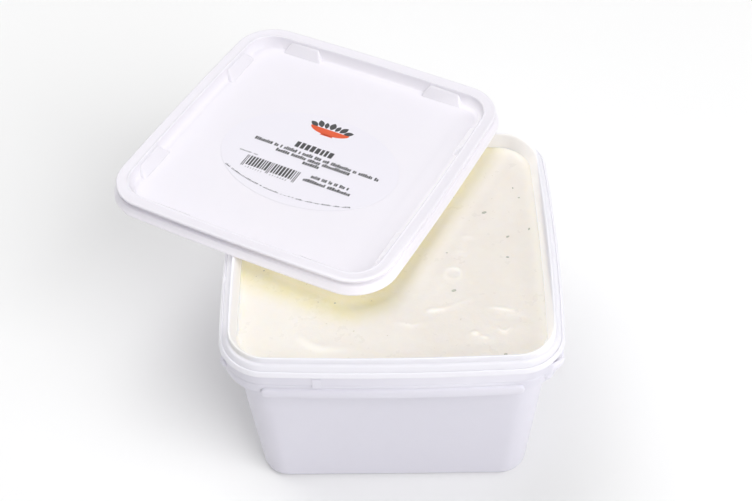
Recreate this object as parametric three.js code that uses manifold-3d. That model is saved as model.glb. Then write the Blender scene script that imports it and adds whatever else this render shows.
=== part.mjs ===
// A square catering tub of herb yoghurt dip with its snap lid lying askew on the rim.
// Millimetres, +Z up. The origin is the centre of the tub's flat underside, +Y points to the back.

import * as THREE from 'three';
import { mergeVertices } from 'three/addons/utils/BufferGeometryUtils.js';
import Module from 'manifold-3d';

const wasm = await Module();
wasm.setup();

// ---------------------------------------------------------------- driving dimensions

const RIM_HEIGHT = 108.9; // top of the tub's inner bead
const RIM_HALF = 84.4; // outer edge of the tub's flange, at the middle of a side
const BEAD_HALF = 78.9; // crest line of the inner bead
const BEAD_CORNER = 17.3;
const SKIRT_BOTTOM = 87.8; // lower edge of the skirt that hangs from the flange
const BODY_TOP_HALF = 76.1; // tapered body, at the height of the skirt's lower edge
const BASE_HALF = 68.5; // tapered body, just above the bottom edge
const WALL = 1.3; // wall thickness of the tub
const BASE_ROUND = 4.3; // radius between the base and the sides
const RIM_BOW = 2.9; // how far the flange's sides bulge between the corners
const RIM_CORNER = 20.6; // corner radius of the flange in plan
const BASE_CORNER = 13.7; // corner radius of the body near the base

const FILL_HEIGHT = 101.0; // level of the dip
const GAP = 0.3; // clearance between touching pieces

const LID_X = -42.7; // middle of the lid over the tub
const LID_Y = 61.8;
const LID_TURN = THREE.MathUtils.degToRad(-27.3); // seen from above, clockwise
const LID_HALF = 80.5; // outer edge of the lid's rim, at the middle of a side
const LID_HEIGHT = 8.7; // from the skirt's lower edge to the rim's crest
const LID_CORNER = 20.6;
const LID_BOW = 1.4;
const LID_SKIRT = 1.7; // how far the lid's skirt flares beyond its rim
const LID_PANEL_TOP = 1.4; // top of the sunken panel, above the skirt's lower edge
const LID_PANEL_HALF = 71.1;
const LID_REST = RIM_HEIGHT + GAP; // the lid's lower edge lies on the tub's bead

const LABEL_HALF_LENGTH = 50.5;
const LABEL_HALF_WIDTH = 35.0;
const LABEL_X = 2.0; // middle of the label on the lid
const LABEL_Y = -5.0;
const LABEL_THICKNESS = 0.15;
const LABEL_GAP = 0.05; // over the panel

const CORNER_STEPS = 8; // facets in one rounded corner
const SIDE_STEPS = 4; // facets along one bowed side

// ---------------------------------------------------------------- materials

const plastic = (name, color, roughness) => {
  const material = new THREE.MeshStandardMaterial({ color, roughness, metalness: 0 });
  material.name = name;
  return material;
};

const TUB_PLASTIC = plastic('tub_plastic', 0xf1f0f6, 0.38);
const LID_PLASTIC = plastic('lid_plastic', 0xf3f1f8, 0.34);
const DIP_CREAM = plastic('dip_cream', 0xf1ebdc, 0.3);
const LABEL_FILM = plastic('label_film', 0xeceefa, 0.45);

// ---------------------------------------------------------------- rounded square sections

/** One level of a loft: half-width at the middle of a side, height, corner radius, bulge. */
const level = (half, z, corner, bow = 0) => ({ half, z, corner, bow });

/** Points of a rounded square with bulging sides, counter-clockwise seen from above. */
function sectionPoints({ half, z, corner, bow }) {
  const flat = half - bow;
  const radius = Math.min(corner, flat);
  const centre = flat - radius;
  const points = [];
  for (let side = 0; side < 4; side += 1) {
    const turn = (side * Math.PI) / 2;
    const [c, s] = [Math.round(Math.cos(turn)), Math.round(Math.sin(turn))];
    const push = (x, y) => {
      const along = THREE.MathUtils.clamp(Math.abs(y) / flat, 0, 1);
      const across = THREE.MathUtils.clamp(Math.abs(x) / flat, 0, 1);
      const u = x + Math.sign(x) * bow * across ** 4 * (1 - along ** 2);
      const v = y + Math.sign(y) * bow * along ** 4 * (1 - across ** 2);
      points.push(new THREE.Vector3(u * c - v * s, u * s + v * c, z));
    };
    for (let i = 0; i < SIDE_STEPS; i += 1) {
      push(flat, centre * ((2 * i) / SIDE_STEPS - 1));
    }
    for (let i = 0; i < CORNER_STEPS; i += 1) {
      const angle = (i / CORNER_STEPS) * (Math.PI / 2);
      push(centre + radius * Math.cos(angle), centre + radius * Math.sin(angle));
    }
  }
  return points;
}

/**
 * Closed solid through a stack of point rings. The rings run from the centre of the underside
 * outwards, up the outside, and back to the centre of the upper face; both ends close in a fan.
 */
function loftRings(rings, firstCentre, lastCentre) {
  const count = rings[0].length;
  const positions = [];
  rings.forEach((ring) => ring.forEach((p) => positions.push(p.x, p.y, p.z)));
  const first = rings.length * count;
  positions.push(...firstCentre.toArray(), ...lastCentre.toArray());
  const index = [];
  for (let r = 0; r + 1 < rings.length; r += 1) {
    for (let i = 0; i < count; i += 1) {
      const j = (i + 1) % count;
      const [a, b, c, d] = [r * count + i, r * count + j, (r + 1) * count + j, (r + 1) * count + i];
      index.push(a, b, c, a, c, d);
    }
  }
  const top = (rings.length - 1) * count;
  for (let i = 0; i < count; i += 1) {
    const j = (i + 1) % count;
    index.push(first, j, i);
    index.push(first + 1, top + i, top + j);
  }
  const geometry = new THREE.BufferGeometry();
  geometry.setAttribute('position', new THREE.Float32BufferAttribute(positions, 3));
  geometry.setIndex(index);
  return geometry;
}

const loft = (levels) => loftRings(
  levels.map(sectionPoints),
  new THREE.Vector3(0, 0, levels[0].z),
  new THREE.Vector3(0, 0, levels[levels.length - 1].z),
);

// ---------------------------------------------------------------- joining solids

function toManifold(source) {
  const bare = source.clone();
  bare.deleteAttribute('normal');
  bare.deleteAttribute('uv');
  const merged = mergeVertices(bare, 1e-4);
  return new wasm.Manifold(new wasm.Mesh({
    numProp: 3,
    vertProperties: new Float32Array(merged.attributes.position.array),
    triVerts: new Uint32Array(merged.index.array),
  }));
}

function toGeometry(manifold) {
  const mesh = manifold.getMesh();
  const geometry = new THREE.BufferGeometry();
  geometry.setAttribute('position', new THREE.BufferAttribute(new Float32Array(mesh.vertProperties), 3));
  geometry.setIndex(new THREE.BufferAttribute(new Uint32Array(mesh.triVerts), 1));
  return geometry;
}

const fuse = (base, additions) => toGeometry(
  additions.reduce((sum, piece) => sum.add(toManifold(piece)), toManifold(base)),
);

const placed = (geometry, x, y, z, turn = 0) => {
  geometry.applyMatrix4(new THREE.Matrix4().makeRotationZ(turn));
  return geometry.translate(x, y, z);
};

const quarterTurns = [0, 1, 2, 3].map((k) => (k * Math.PI) / 2);

// ---------------------------------------------------------------- the tub

/** Half-width, corner radius and bulge of the tapered body's outside at a height. */
function bodyLevel(z, inset = 0) {
  const share = z / SKIRT_BOTTOM;
  const half = THREE.MathUtils.lerp(BASE_HALF, BODY_TOP_HALF, share) - inset;
  const corner = THREE.MathUtils.lerp(BASE_CORNER, 17.2, share) - inset;
  return level(half, z, corner, 0.6 * share ** 2);
}

/** Levels of a rounded bottom edge, from flat base to side wall. */
function bottomEdge(floor, inset, radius, steps) {
  const levels = [];
  for (let i = 0; i <= steps; i += 1) {
    const angle = (i / steps) * (Math.PI / 2);
    const rim = bodyLevel(floor + radius, inset);
    const pull = radius * (1 - Math.sin(angle));
    levels.push(level(rim.half - pull, floor + radius * (1 - Math.cos(angle)), rim.corner - pull * 0.6));
  }
  return levels;
}

/** The shallow channel pressed into the underside, so that the tub stands on its edge and middle. */
function baseChannel() {
  const [inner, outer, slope, depth] = [52, 58, 1.2, 0.9];
  return [
    level(inner, 0, 8),
    level(inner + slope, depth, 8.4),
    level(outer - slope, depth, 10),
    level(outer, 0, 10.4),
  ];
}

/** A level of the rim, given by how far it lies inside the flange's outer edge. */
const rimLevel = (inset, z, bow = RIM_BOW) => level(RIM_HALF - inset, z, RIM_CORNER - inset, bow);

/** A level of the bead or the wall below it, given by how far it lies inside the bead's crest. */
const innerLevel = (inset, z, bow) => level(BEAD_HALF - inset, z, BEAD_CORNER - 0.3 * inset, bow);

/** Outside of the tub from its body up the hollow under the flange and down to the skirt's edge. */
function skirtInside() {
  return [
    rimLevel(6.9, 99.0, 1.8),
    rimLevel(5.6, 103.6, 2.0),
    rimLevel(4.7, 105.6, 2.3),
    rimLevel(4.1, 105.0, 2.4),
    rimLevel(3.2, 101.8),
    rimLevel(2.4, 100.2),
    rimLevel(2.4, SKIRT_BOTTOM + 0.4),
    rimLevel(2.3, SKIRT_BOTTOM),
  ];
}

/** The skirt's outside: a lower band, an upper tear band between two fine grooves. */
function skirtOutside() {
  return [
    rimLevel(1.5, SKIRT_BOTTOM),
    rimLevel(1.3, SKIRT_BOTTOM + 0.4),
    rimLevel(1.1, 95.2),
    rimLevel(1.5, 95.5),
    rimLevel(1.5, 95.8),
    rimLevel(0.7, 96.2),
    rimLevel(0.5, 98.8),
    rimLevel(1.1, 99.1),
    rimLevel(1.0, 99.5),
    rimLevel(0.1, 99.8),
  ];
}

/** The flange: rolled edge, locking groove, sloping shoulder, shelf and the inner bead. */
function rimTop() {
  return [
    rimLevel(0, 100.6),
    rimLevel(0.2, 102.0),
    rimLevel(1.2, 103.1),
    rimLevel(1.8, 102.7),
    rimLevel(2.2, 103.2),
    rimLevel(3.5, 107.0, 2.6),
    rimLevel(4.0, 107.3, 2.5),
    innerLevel(-0.7, 107.2, 2.4),
    innerLevel(-0.6, 108.3, 2.4),
    innerLevel(-0.3, 108.8, 2.3),
    innerLevel(0, RIM_HEIGHT, 2.2),
    innerLevel(0.7, 108.7, 2.2),
    innerLevel(1.3, 107.8, 2.1),
  ];
}

function tubInside() {
  const floor = WALL + 0.2;
  return [
    innerLevel(3.6, 101.8, 1.6),
    innerLevel(3.9, 99.0, 1.2),
    bodyLevel(SKIRT_BOTTOM, WALL),
    bodyLevel(45, WALL),
    ...bottomEdge(floor, WALL, BASE_ROUND - 0.8, 3).reverse(),
  ];
}

/**
 * Grip bars with round ends along the lower edge of the skirt, one on each side. A band that
 * follows the skirt is cut to the outline of each bar.
 */
function gripBars() {
  const [halfLength, bottom, height] = [63, SKIRT_BOTTOM - 2.0, 5.4];
  const top = bottom + height;
  const outer = toManifold(loft([
    rimLevel(0.8, bottom),
    rimLevel(0.2, bottom + 0.4),
    rimLevel(0.1, top - 0.5),
    rimLevel(0.5, top),
  ]));
  const inner = toManifold(loft([rimLevel(1.8, bottom - 1), rimLevel(1.8, top + 1)]));
  const band = outer.subtract(inner);
  const radius = height / 2;
  const outline = new THREE.Shape();
  outline.absarc(halfLength - radius, 0, radius, -Math.PI / 2, Math.PI / 2);
  outline.absarc(-halfLength + radius, 0, radius, Math.PI / 2, (3 * Math.PI) / 2);
  outline.closePath();
  return quarterTurns.map((turn) => {
    const cutter = new THREE.ExtrudeGeometry(outline, {
      depth: RIM_HALF,
      bevelEnabled: false,
      curveSegments: 5,
    });
    cutter.applyMatrix4(new THREE.Matrix4().makeRotationX(Math.PI / 2));
    cutter.translate(0, -RIM_CORNER, bottom + radius);
    return toGeometry(band.intersect(toManifold(placed(cutter, 0, 0, 0, turn))));
  });
}

/** A small rounded lump on the rim's corner arc, at an angle in degrees. */
function cornerLump(angle, { along, out, up }, outside, z) {
  const lump = new THREE.SphereGeometry(1, 8, 6);
  lump.scale(out, along, up);
  const turn = THREE.MathUtils.degToRad(angle);
  const middle = RIM_HALF - RIM_BOW - RIM_CORNER;
  const reach = RIM_CORNER + outside;
  const x = Math.sign(Math.cos(turn)) * middle + reach * Math.cos(turn);
  const y = Math.sign(Math.sin(turn)) * middle + reach * Math.sin(turn);
  return placed(lump, x, y, z, turn);
}

/** The pull end of the tear band and the stop below it, both at the front right corner. */
function tearTab() {
  return [
    cornerLump(-19, { along: 1.9, out: 1.9, up: 1.5 }, 0.2, 92.0),
    cornerLump(-54, { along: 3.6, out: 1.9, up: 1.9 }, -0.8, SKIRT_BOTTOM + 0.9),
  ];
}

/** One short bridge between the two bands of the skirt. */
function skirtBridge() {
  const bridge = new THREE.BoxGeometry(1.2, 1.6, 5.6);
  return bridge.translate(-34.4, -(RIM_HALF - 1.0), 96.2);
}

function makeTub() {
  const shell = loft([
    ...baseChannel(),
    ...bottomEdge(0, 0, BASE_ROUND, 4),
    bodyLevel(45),
    bodyLevel(SKIRT_BOTTOM),
    ...skirtInside(),
    ...skirtOutside(),
    ...rimTop(),
    ...tubInside(),
  ]);
  const geometry = fuse(shell, [...gripBars(), ...tearTab(), skirtBridge()]);
  return new THREE.Mesh(geometry, TUB_PLASTIC);
}

// ---------------------------------------------------------------- the dip

/** Swells left by the filling nozzle and a spoon: place, heading, half-length, half-width, height. */
const SWELLS = [
  { x: -32, y: -64, heading: -25, long: 14, wide: 3.0, rise: 1.0 },
  { x: -20, y: -55, heading: 10, long: 18, wide: 5.0, rise: 0.5 },
  { x: 21, y: -43, heading: 0, long: 10, wide: 3.0, rise: 0.6 },
  { x: 54, y: -43, heading: 0, long: 9, wide: 3.0, rise: 0.6 },
  { x: 42, y: -59, heading: -15, long: 8, wide: 3.0, rise: 0.7 },
  { x: 32, y: -18, heading: 0, long: 4.5, wide: 4.5, rise: 0.8 },
  { x: 58, y: -55, heading: 30, long: 6, wide: 2.5, rise: 0.6 },
];

/** Herb flecks that show in the surface: place, heading and half-length. */
const HERB_FLECKS = [
  { x: 48.1, y: 24.6, heading: 25, long: 1.6 },
  { x: 30.8, y: -29.6, heading: 20, long: 1.5 },
  { x: 70.6, y: 12.5, heading: 70, long: 1.0 },
  { x: 58.4, y: -7.4, heading: 0, long: 1.0 },
  { x: 53.8, y: -70.6, heading: 10, long: 1.1 },
  { x: 59.3, y: 7.0, heading: 40, long: 1.2 },
  { x: 64.1, y: 42.7, heading: 90, long: 0.9 },
  { x: 66.9, y: 35.4, heading: 0, long: 0.8 },
  { x: -27.6, y: -36.8, heading: 15, long: 1.1 },
  { x: 28.1, y: -4.0, heading: 0, long: 0.8 },
];

const HIDDEN_FLECKS = 8; // under the lid

/** Repeatable random numbers between 0 and 1. */
function randomSource(seed) {
  let state = seed;
  return () => {
    state = (state * 16807) % 2147483647;
    return state / 2147483647;
  };
}

function swellHeight(x, y) {
  return SWELLS.reduce((sum, { x: cx, y: cy, heading, long, wide, rise }) => {
    const turn = THREE.MathUtils.degToRad(heading);
    const [dx, dy] = [x - cx, y - cy];
    const along = (dx * Math.cos(turn) + dy * Math.sin(turn)) / long;
    const across = (-dx * Math.sin(turn) + dy * Math.cos(turn)) / wide;
    return sum + rise * Math.exp(-(along ** 2) - across ** 2);
  }, 0);
}

/** Height of the dip's surface: slow waves, the named swells and a meniscus at the wall. */
function dipSurface(x, y, toWall) {
  const waves = 0.25 * Math.sin(x / 17 + 0.6 * Math.sin(y / 23)) * Math.cos(y / 21 - 0.4)
    + 0.12 * Math.sin(x / 7.5 + y / 9.5);
  const calm = Math.min(1, toWall / 8);
  return FILL_HEIGHT + calm * (waves + swellHeight(x, y)) + 0.7 * Math.exp(-toWall / 1.2);
}

function dipRings() {
  const sides = [
    ...bottomEdge(WALL + 0.2 + GAP, WALL + GAP, BASE_ROUND - 1.1, 2),
    bodyLevel(45, WALL + GAP),
    bodyLevel(SKIRT_BOTTOM, WALL + GAP),
    innerLevel(3.9 + GAP + 0.1, 99.0, 1.2),
  ].map(sectionPoints);
  const edge = innerLevel(3.7 + GAP, FILL_HEIGHT, 1.5);
  const insets = [0, 0.8, 2, 5, 9, 13, 17, 22, 27, 33, 40, 48, 56, 64, 71];
  const surface = insets.map((inset) => {
    const share = 1 - inset / edge.half;
    const ring = sectionPoints(level(edge.half - inset, edge.z, edge.corner * share, edge.bow * share));
    ring.forEach((p) => { p.z = dipSurface(p.x, p.y, inset); });
    return ring;
  });
  return [...sides, ...surface];
}

/** One herb fleck: a flat lens of a few facets, sunk by half in the surface. */
function fleck({ x, y, heading, long }) {
  const lens = new THREE.SphereGeometry(1, 6, 4);
  lens.scale(long, long * 0.42, 0.3);
  const toWall = BEAD_HALF - 4.4 - Math.max(Math.abs(x), Math.abs(y));
  return placed(lens, x, y, dipSurface(x, y, toWall) + 0.08, THREE.MathUtils.degToRad(heading));
}

/** Flecks in the part of the surface that the lid covers, drawn by a seeded rule. */
function hiddenFlecks() {
  const random = randomSource(71);
  return Array.from({ length: HIDDEN_FLECKS }, () => fleck({
    x: -62 + 80 * random(),
    y: 4 + 58 * random(),
    heading: 180 * random(),
    long: 0.8 + 0.7 * random(),
  }));
}

function makeDip() {
  const rings = dipRings();
  const base = new THREE.Vector3(0, 0, rings[0][0].z);
  const middle = new THREE.Vector3(0, 0, dipSurface(0, 0, RIM_HALF));
  const body = loftRings(rings, base, middle);
  return new THREE.Mesh(fuse(body, [...HERB_FLECKS.map(fleck), ...hiddenFlecks()]), DIP_CREAM);
}

// ---------------------------------------------------------------- the lid

/** A level of the lid, given by how far it lies inside the rim's outer edge. */
const lidLevel = (inset, z) => level(LID_HALF - inset, z, LID_CORNER - inset, LID_BOW);

const PANEL_INSET = LID_HALF - LID_PANEL_HALF;

/** Underside: flat panel, wall of the sunken panel, hollow of the rim, inside of the skirt. */
function lidUnderside() {
  return [
    lidLevel(PANEL_INSET - 0.5, 0.1),
    lidLevel(PANEL_INSET - 0.8, 0.4),
    lidLevel(5.1, 7.0),
    lidLevel(4.4, 7.5),
    lidLevel(1.8, 7.4),
    lidLevel(1.4, 6.9),
    lidLevel(2.0, 5.4),
    lidLevel(1.8, 4.4),
    lidLevel(-0.5, 1.5),
    lidLevel(-0.6, 0),
  ];
}

/** Outside: flared skirt, the groove above it, and the rolled rim with a fine inner bead. */
function lidOutside() {
  return [
    lidLevel(-LID_SKIRT + 0.1, 0),
    lidLevel(-LID_SKIRT, 0.3),
    lidLevel(-LID_SKIRT + 0.1, 1.5),
    lidLevel(0.5, 4.8),
    lidLevel(0.9, 5.4),
    lidLevel(0.8, 6.3),
    lidLevel(0.1, 7.1),
    lidLevel(0, 7.7),
    lidLevel(0.5, 8.3),
    lidLevel(1.4, 8.5),
    lidLevel(4.2, 8.4),
    lidLevel(4.6, 8.2),
    lidLevel(5.0, 8.5),
    lidLevel(5.6, LID_HEIGHT),
    lidLevel(6.1, 8.4),
    lidLevel(6.4, 7.8),
    lidLevel(PANEL_INSET - 0.3, LID_PANEL_TOP + 0.5),
    lidLevel(PANEL_INSET, LID_PANEL_TOP),
  ];
}

/** A stacking lug against the wall of the sunken panel, on the side that faces +Y. */
function stackingLug(turn, offset) {
  const [halfBase, halfTop, inner, top] = [12.3, 6.3, 66.8, 6.5];
  const bottom = LID_PANEL_TOP - 0.4;
  const ring = (half, near, far, z) => [
    new THREE.Vector3(offset - half, near, z),
    new THREE.Vector3(offset + half, near, z),
    new THREE.Vector3(offset + half, far, z),
    new THREE.Vector3(offset - half, far, z),
  ];
  const lower = ring(halfBase, inner, LID_PANEL_HALF + 0.2, bottom);
  const upper = ring(halfTop, inner + 0.5, LID_PANEL_HALF + 2.6, top);
  const lug = loftRings(
    [lower, upper],
    new THREE.Vector3(offset, inner + 2, bottom),
    new THREE.Vector3(offset, inner + 3, top),
  );
  return placed(lug, 0, 0, 0, turn);
}

function makeLid() {
  const shell = loft([...lidUnderside(), ...lidOutside()]);
  const lugOffset = 44;
  const lugs = quarterTurns.flatMap((turn) => [
    stackingLug(turn, -lugOffset),
    stackingLug(turn, lugOffset),
  ]);
  return new THREE.Mesh(fuse(shell, lugs), LID_PLASTIC);
}

// ---------------------------------------------------------------- the label

function makeLabel() {
  const outline = new THREE.Shape();
  outline.absellipse(0, 0, LABEL_HALF_LENGTH, LABEL_HALF_WIDTH, 0, 2 * Math.PI);
  const film = new THREE.ExtrudeGeometry(outline, {
    depth: LABEL_THICKNESS,
    bevelEnabled: false,
    curveSegments: 32,
  });
  const label = new THREE.Mesh(film, LABEL_FILM);
  label.position.set(LABEL_X, LABEL_Y, LID_PANEL_TOP + LABEL_GAP);
  return label;
}

// ---------------------------------------------------------------- assembly

const named = (mesh, name) => {
  mesh.name = name;
  return mesh;
};

const lidGroup = new THREE.Group();
lidGroup.add(named(makeLid(), 'lid'), named(makeLabel(), 'label'));
lidGroup.position.set(LID_X, LID_Y, LID_REST);
lidGroup.rotation.z = LID_TURN;

const packedDip = new THREE.Group();
packedDip.add(named(makeTub(), 'tub'), named(makeDip(), 'dip'), lidGroup);

export default packedDip;
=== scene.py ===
"""The dressed tub of herb yoghurt dip, with its lid lying askew on the rim.

Metres, +Z up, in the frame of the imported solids: the origin is the centre of the tub's underside
and +Y points to the back. Profiles and places are written in millimetres and turned into metres
where a mesh is made.
"""

import logging
import math
import random
from collections.abc import Callable, Iterable, Mapping, Sequence
from dataclasses import dataclass, field
from enum import Enum

import bmesh
import bpy
import numpy as np
from bpy.types import Material, Mesh, Node, NodeSocket, NodeTree, Object
from mathutils import Matrix, Vector


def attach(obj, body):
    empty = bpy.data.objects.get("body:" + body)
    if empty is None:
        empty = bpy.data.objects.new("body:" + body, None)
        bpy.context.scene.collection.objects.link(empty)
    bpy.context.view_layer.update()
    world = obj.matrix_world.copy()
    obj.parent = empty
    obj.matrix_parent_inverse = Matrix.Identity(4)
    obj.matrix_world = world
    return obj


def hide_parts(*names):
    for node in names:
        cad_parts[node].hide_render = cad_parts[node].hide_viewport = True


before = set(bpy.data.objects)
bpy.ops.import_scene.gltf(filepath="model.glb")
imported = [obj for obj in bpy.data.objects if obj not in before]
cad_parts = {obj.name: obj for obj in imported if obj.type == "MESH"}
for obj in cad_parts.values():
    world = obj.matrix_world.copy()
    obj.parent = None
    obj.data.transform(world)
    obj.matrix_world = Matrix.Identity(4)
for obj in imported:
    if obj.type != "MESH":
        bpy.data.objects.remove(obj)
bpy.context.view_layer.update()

log = logging.getLogger("herb_dip")

MM = 0.001
WELD = 1e-7
SIDES = 4
BODY = "root"
BLACK = (0.0, 0.0, 0.0)
WHITE = (1.0, 1.0, 1.0)

Rgb = tuple[float, float, float]
Spot = tuple[float, float]
Place = tuple[float, float, float]
Placed = tuple[Mesh, Matrix]
Inputs = Mapping[str | int, object]
Rule = Callable[[np.ndarray, np.ndarray, np.ndarray], np.ndarray]


class Slot(Enum):
    """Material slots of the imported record."""

    TUB = "tub_plastic"
    LID = "lid_plastic"
    DIP = "dip_cream"
    LABEL = "label_film"


# ---------------------------------------------------------------- node arithmetic


@dataclass(frozen=True)
class Field:
    """A number that varies over a shape. Arithmetic on it adds Math nodes to its tree."""

    tree: NodeTree
    socket: NodeSocket

    def math(self, operation: str, *others: "Field | float") -> "Field":
        """Adds one Math node.

        Args:
            operation: The Math node's operation.
            others: The values after this one.

        Returns:
            The node's result.
        """
        node = self.tree.nodes.new("ShaderNodeMath")
        node.operation = operation
        for slot, value in zip(node.inputs, (self, *others)):
            join(self.tree, value, slot)
        return Field(self.tree, node.outputs[0])

    def __add__(self, other: "Field | float") -> "Field":
        """Sum."""
        return self.math("ADD", other)

    def __sub__(self, other: "Field | float") -> "Field":
        """Difference."""
        return self.math("SUBTRACT", other)

    def __rsub__(self, other: float) -> "Field":
        """Difference from a plain number."""
        return self * -1.0 + other

    def __mul__(self, other: "Field | float") -> "Field":
        """Product."""
        return self.math("MULTIPLY", other)

    def __truediv__(self, other: "Field | float") -> "Field":
        """Quotient."""
        return self.math("DIVIDE", other)

    def __rtruediv__(self, other: float) -> "Field":
        """Quotient of a plain number and this one."""
        node = add_node(self.tree, "ShaderNodeMath", {0: other, 1: self}, operation="DIVIDE")
        return Field(self.tree, node.outputs[0])

    def __pow__(self, other: "Field | float") -> "Field":
        """Power."""
        return self.math("POWER", other)


def join(tree: NodeTree, value: object, slot: NodeSocket) -> None:
    """Feeds a socket.

    Args:
        tree: The tree that the socket is in.
        value: A Field or an output socket, which is linked, or a plain value, which is set.
        slot: The input socket.
    """
    if isinstance(value, Field):
        value = value.socket
    if isinstance(value, NodeSocket):
        tree.links.new(value, slot)
    else:
        slot.default_value = value


def add_node(tree: NodeTree, kind: str, inputs: Inputs | None = None, **settings: object) -> Node:
    """Adds a node to a tree.

    Args:
        tree: The tree.
        kind: The node's type name.
        inputs: Values or sockets by input name or number.
        settings: The node's own properties.

    Returns:
        The node.
    """
    node = tree.nodes.new(kind)
    for name, value in settings.items():
        setattr(node, name, value)
    for key, value in (inputs or {}).items():
        join(tree, value, node.inputs[key])
    return node


def spaced(values: Mapping[str, object]) -> dict[str, object]:
    """Values by socket name, from keywords that have underscores for spaces."""
    return {title.replace("_", " "): value for title, value in values.items()}


# ---------------------------------------------------------------- geometry recipes


class Recipe:
    """A Geometry Nodes tree with named inputs, run on a start mesh and baked to a plain one."""

    def __init__(self, name: str, sizes: Mapping[str, float | int | tuple]) -> None:
        """Makes the tree with its sockets.

        Args:
            name: The tree's name.
            sizes: Each size input's name and usual value; its type gives the socket's.
        """
        self.tree = bpy.data.node_groups.new(name, "GeometryNodeTree")
        sockets = self.tree.interface
        sockets.new_socket("Start", in_out="INPUT", socket_type="NodeSocketGeometry")
        kinds = {int: "NodeSocketInt", float: "NodeSocketFloat", tuple: "NodeSocketVector"}
        for title, value in sizes.items():
            socket = sockets.new_socket(title, in_out="INPUT", socket_type=kinds[type(value)])
            socket.default_value = value
        sockets.new_socket("Finish", in_out="INPUT", socket_type="NodeSocketMaterial")
        sockets.new_socket("Mesh", in_out="OUTPUT", socket_type="NodeSocketGeometry")
        self.entry = self.tree.nodes.new("NodeGroupInput")

    @property
    def start(self) -> NodeSocket:
        """The start mesh's socket."""
        return self.entry.outputs["Start"]

    def size(self, title: str) -> Field:
        """A named size input as a field."""
        return Field(self.tree, self.entry.outputs[title])

    def node(self, kind: str, inputs: Inputs | None = None, **settings: object) -> Node:
        """Adds a node to this tree; see add_node."""
        return add_node(self.tree, kind, inputs, **settings)

    def shape(self, kind: str, inputs: Inputs | None = None, **settings: object) -> NodeSocket:
        """Adds a node to this tree and gives its first output; see add_node."""
        return self.node(kind, inputs, **settings).outputs[0]

    def attribute(self, name: str) -> Field:
        """A named number attribute of the start mesh."""
        node = self.node("GeometryNodeInputNamedAttribute", {"Name": name}, data_type="FLOAT")
        return Field(self.tree, node.outputs["Attribute"])

    def random(self, low: float | Field, high: float | Field, salt: int, seed: Field) -> Field:
        """Random number for each element, from a fixed seed.

        Args:
            low: Smallest value.
            high: Largest value.
            salt: Tells this draw from the recipe's others.
            seed: The recipe's seed input.

        Returns:
            The number as a field.
        """
        inputs = {2: low, 3: high, "Seed": seed + float(salt)}
        node = self.node("FunctionNodeRandomValue", inputs, data_type="FLOAT")
        return Field(self.tree, node.outputs[1])

    def vector(self, x: Field | float, y: Field | float, z: Field | float) -> NodeSocket:
        """Joins three numbers into a vector."""
        return self.shape("ShaderNodeCombineXYZ", {0: x, 1: y, 2: z})

    def on_points(self, points: NodeSocket, copied: NodeSocket, **inputs: object) -> NodeSocket:
        """Sets a copy of a shape on each point.

        Args:
            points: The points.
            copied: The shape.
            inputs: Rotation and Scale of the copies.

        Returns:
            The copies.
        """
        wired = {"Points": points, "Instance": copied, **inputs}
        return self.shape("GeometryNodeInstanceOnPoints", wired)

    def close(self, geometry: NodeSocket) -> None:
        """Ends the tree in Realize Instances and Set Material.

        Args:
            geometry: The shape that leaves the tree.
        """
        real = self.shape("GeometryNodeRealizeInstances", {0: geometry})
        finish = self.entry.outputs["Finish"]
        dressed = self.shape("GeometryNodeSetMaterial", {"Geometry": real, "Material": finish})
        end = self.tree.nodes.new("NodeGroupOutput")
        self.tree.links.new(dressed, end.inputs["Mesh"])

    def run(self, start: Mesh, finish: Material, **sizes: object) -> Mesh:
        """Runs the tree on a start mesh and gives its result as a plain mesh.

        Args:
            start: The start mesh, which is used up.
            finish: The material.
            sizes: Size inputs by name, with underscores for spaces.

        Returns:
            The plain mesh.
        """
        maker = bpy.data.objects.new("maker", start)
        bpy.context.scene.collection.objects.link(maker)
        modifier = maker.modifiers.new("recipe", "NODES")
        modifier.node_group = self.tree
        values = spaced(sizes) | {"Finish": finish}
        for socket in self.tree.interface.items_tree:
            if socket.in_out == "INPUT" and socket.name in values:
                modifier[socket.identifier] = values[socket.name]
        depsgraph = bpy.context.evaluated_depsgraph_get()
        mesh = bpy.data.meshes.new_from_object(maker.evaluated_get(depsgraph), depsgraph=depsgraph)
        maker.modifiers.clear()
        bpy.data.objects.remove(maker)
        bpy.data.meshes.remove(start)
        return mesh

    def bake(self, start: Mesh, name: str, finish: Material, **sizes: object) -> Object:
        """Runs the tree and keeps its plain result as a piece at the origin.

        Args:
            start: The start mesh, which is used up.
            name: The finished piece's name.
            finish: The piece's material.
            sizes: Size inputs by name, with underscores for spaces.

        Returns:
            The piece.
        """
        return keep_piece(self.run(start, finish, **sizes), name, finish)


def keep_piece(mesh: Mesh, name: str, finish: Material) -> Object:
    """Links a mesh as a piece at the origin with one material.

    Args:
        mesh: The mesh, in metres.
        name: The piece's name.
        finish: The material.

    Returns:
        The piece.
    """
    mesh.name = name
    mesh.materials.clear()
    mesh.materials.append(finish)
    piece = bpy.data.objects.new(name, mesh)
    bpy.context.scene.collection.objects.link(piece)
    return piece


def settle(work: bmesh.types.BMesh, name: str) -> Mesh:
    """Makes a mesh of working geometry, which is used up."""
    mesh = bpy.data.meshes.new(name)
    work.to_mesh(mesh)
    work.free()
    return mesh


def placed_at(x: float, y: float, z: float, turn: float = 0.0) -> Matrix:
    """The matrix in metres of a place in mm and a turn round the vertical axis in radians."""
    return Matrix.Translation(Vector((x, y, z)) * MM) @ Matrix.Rotation(turn, 4, "Z")


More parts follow.
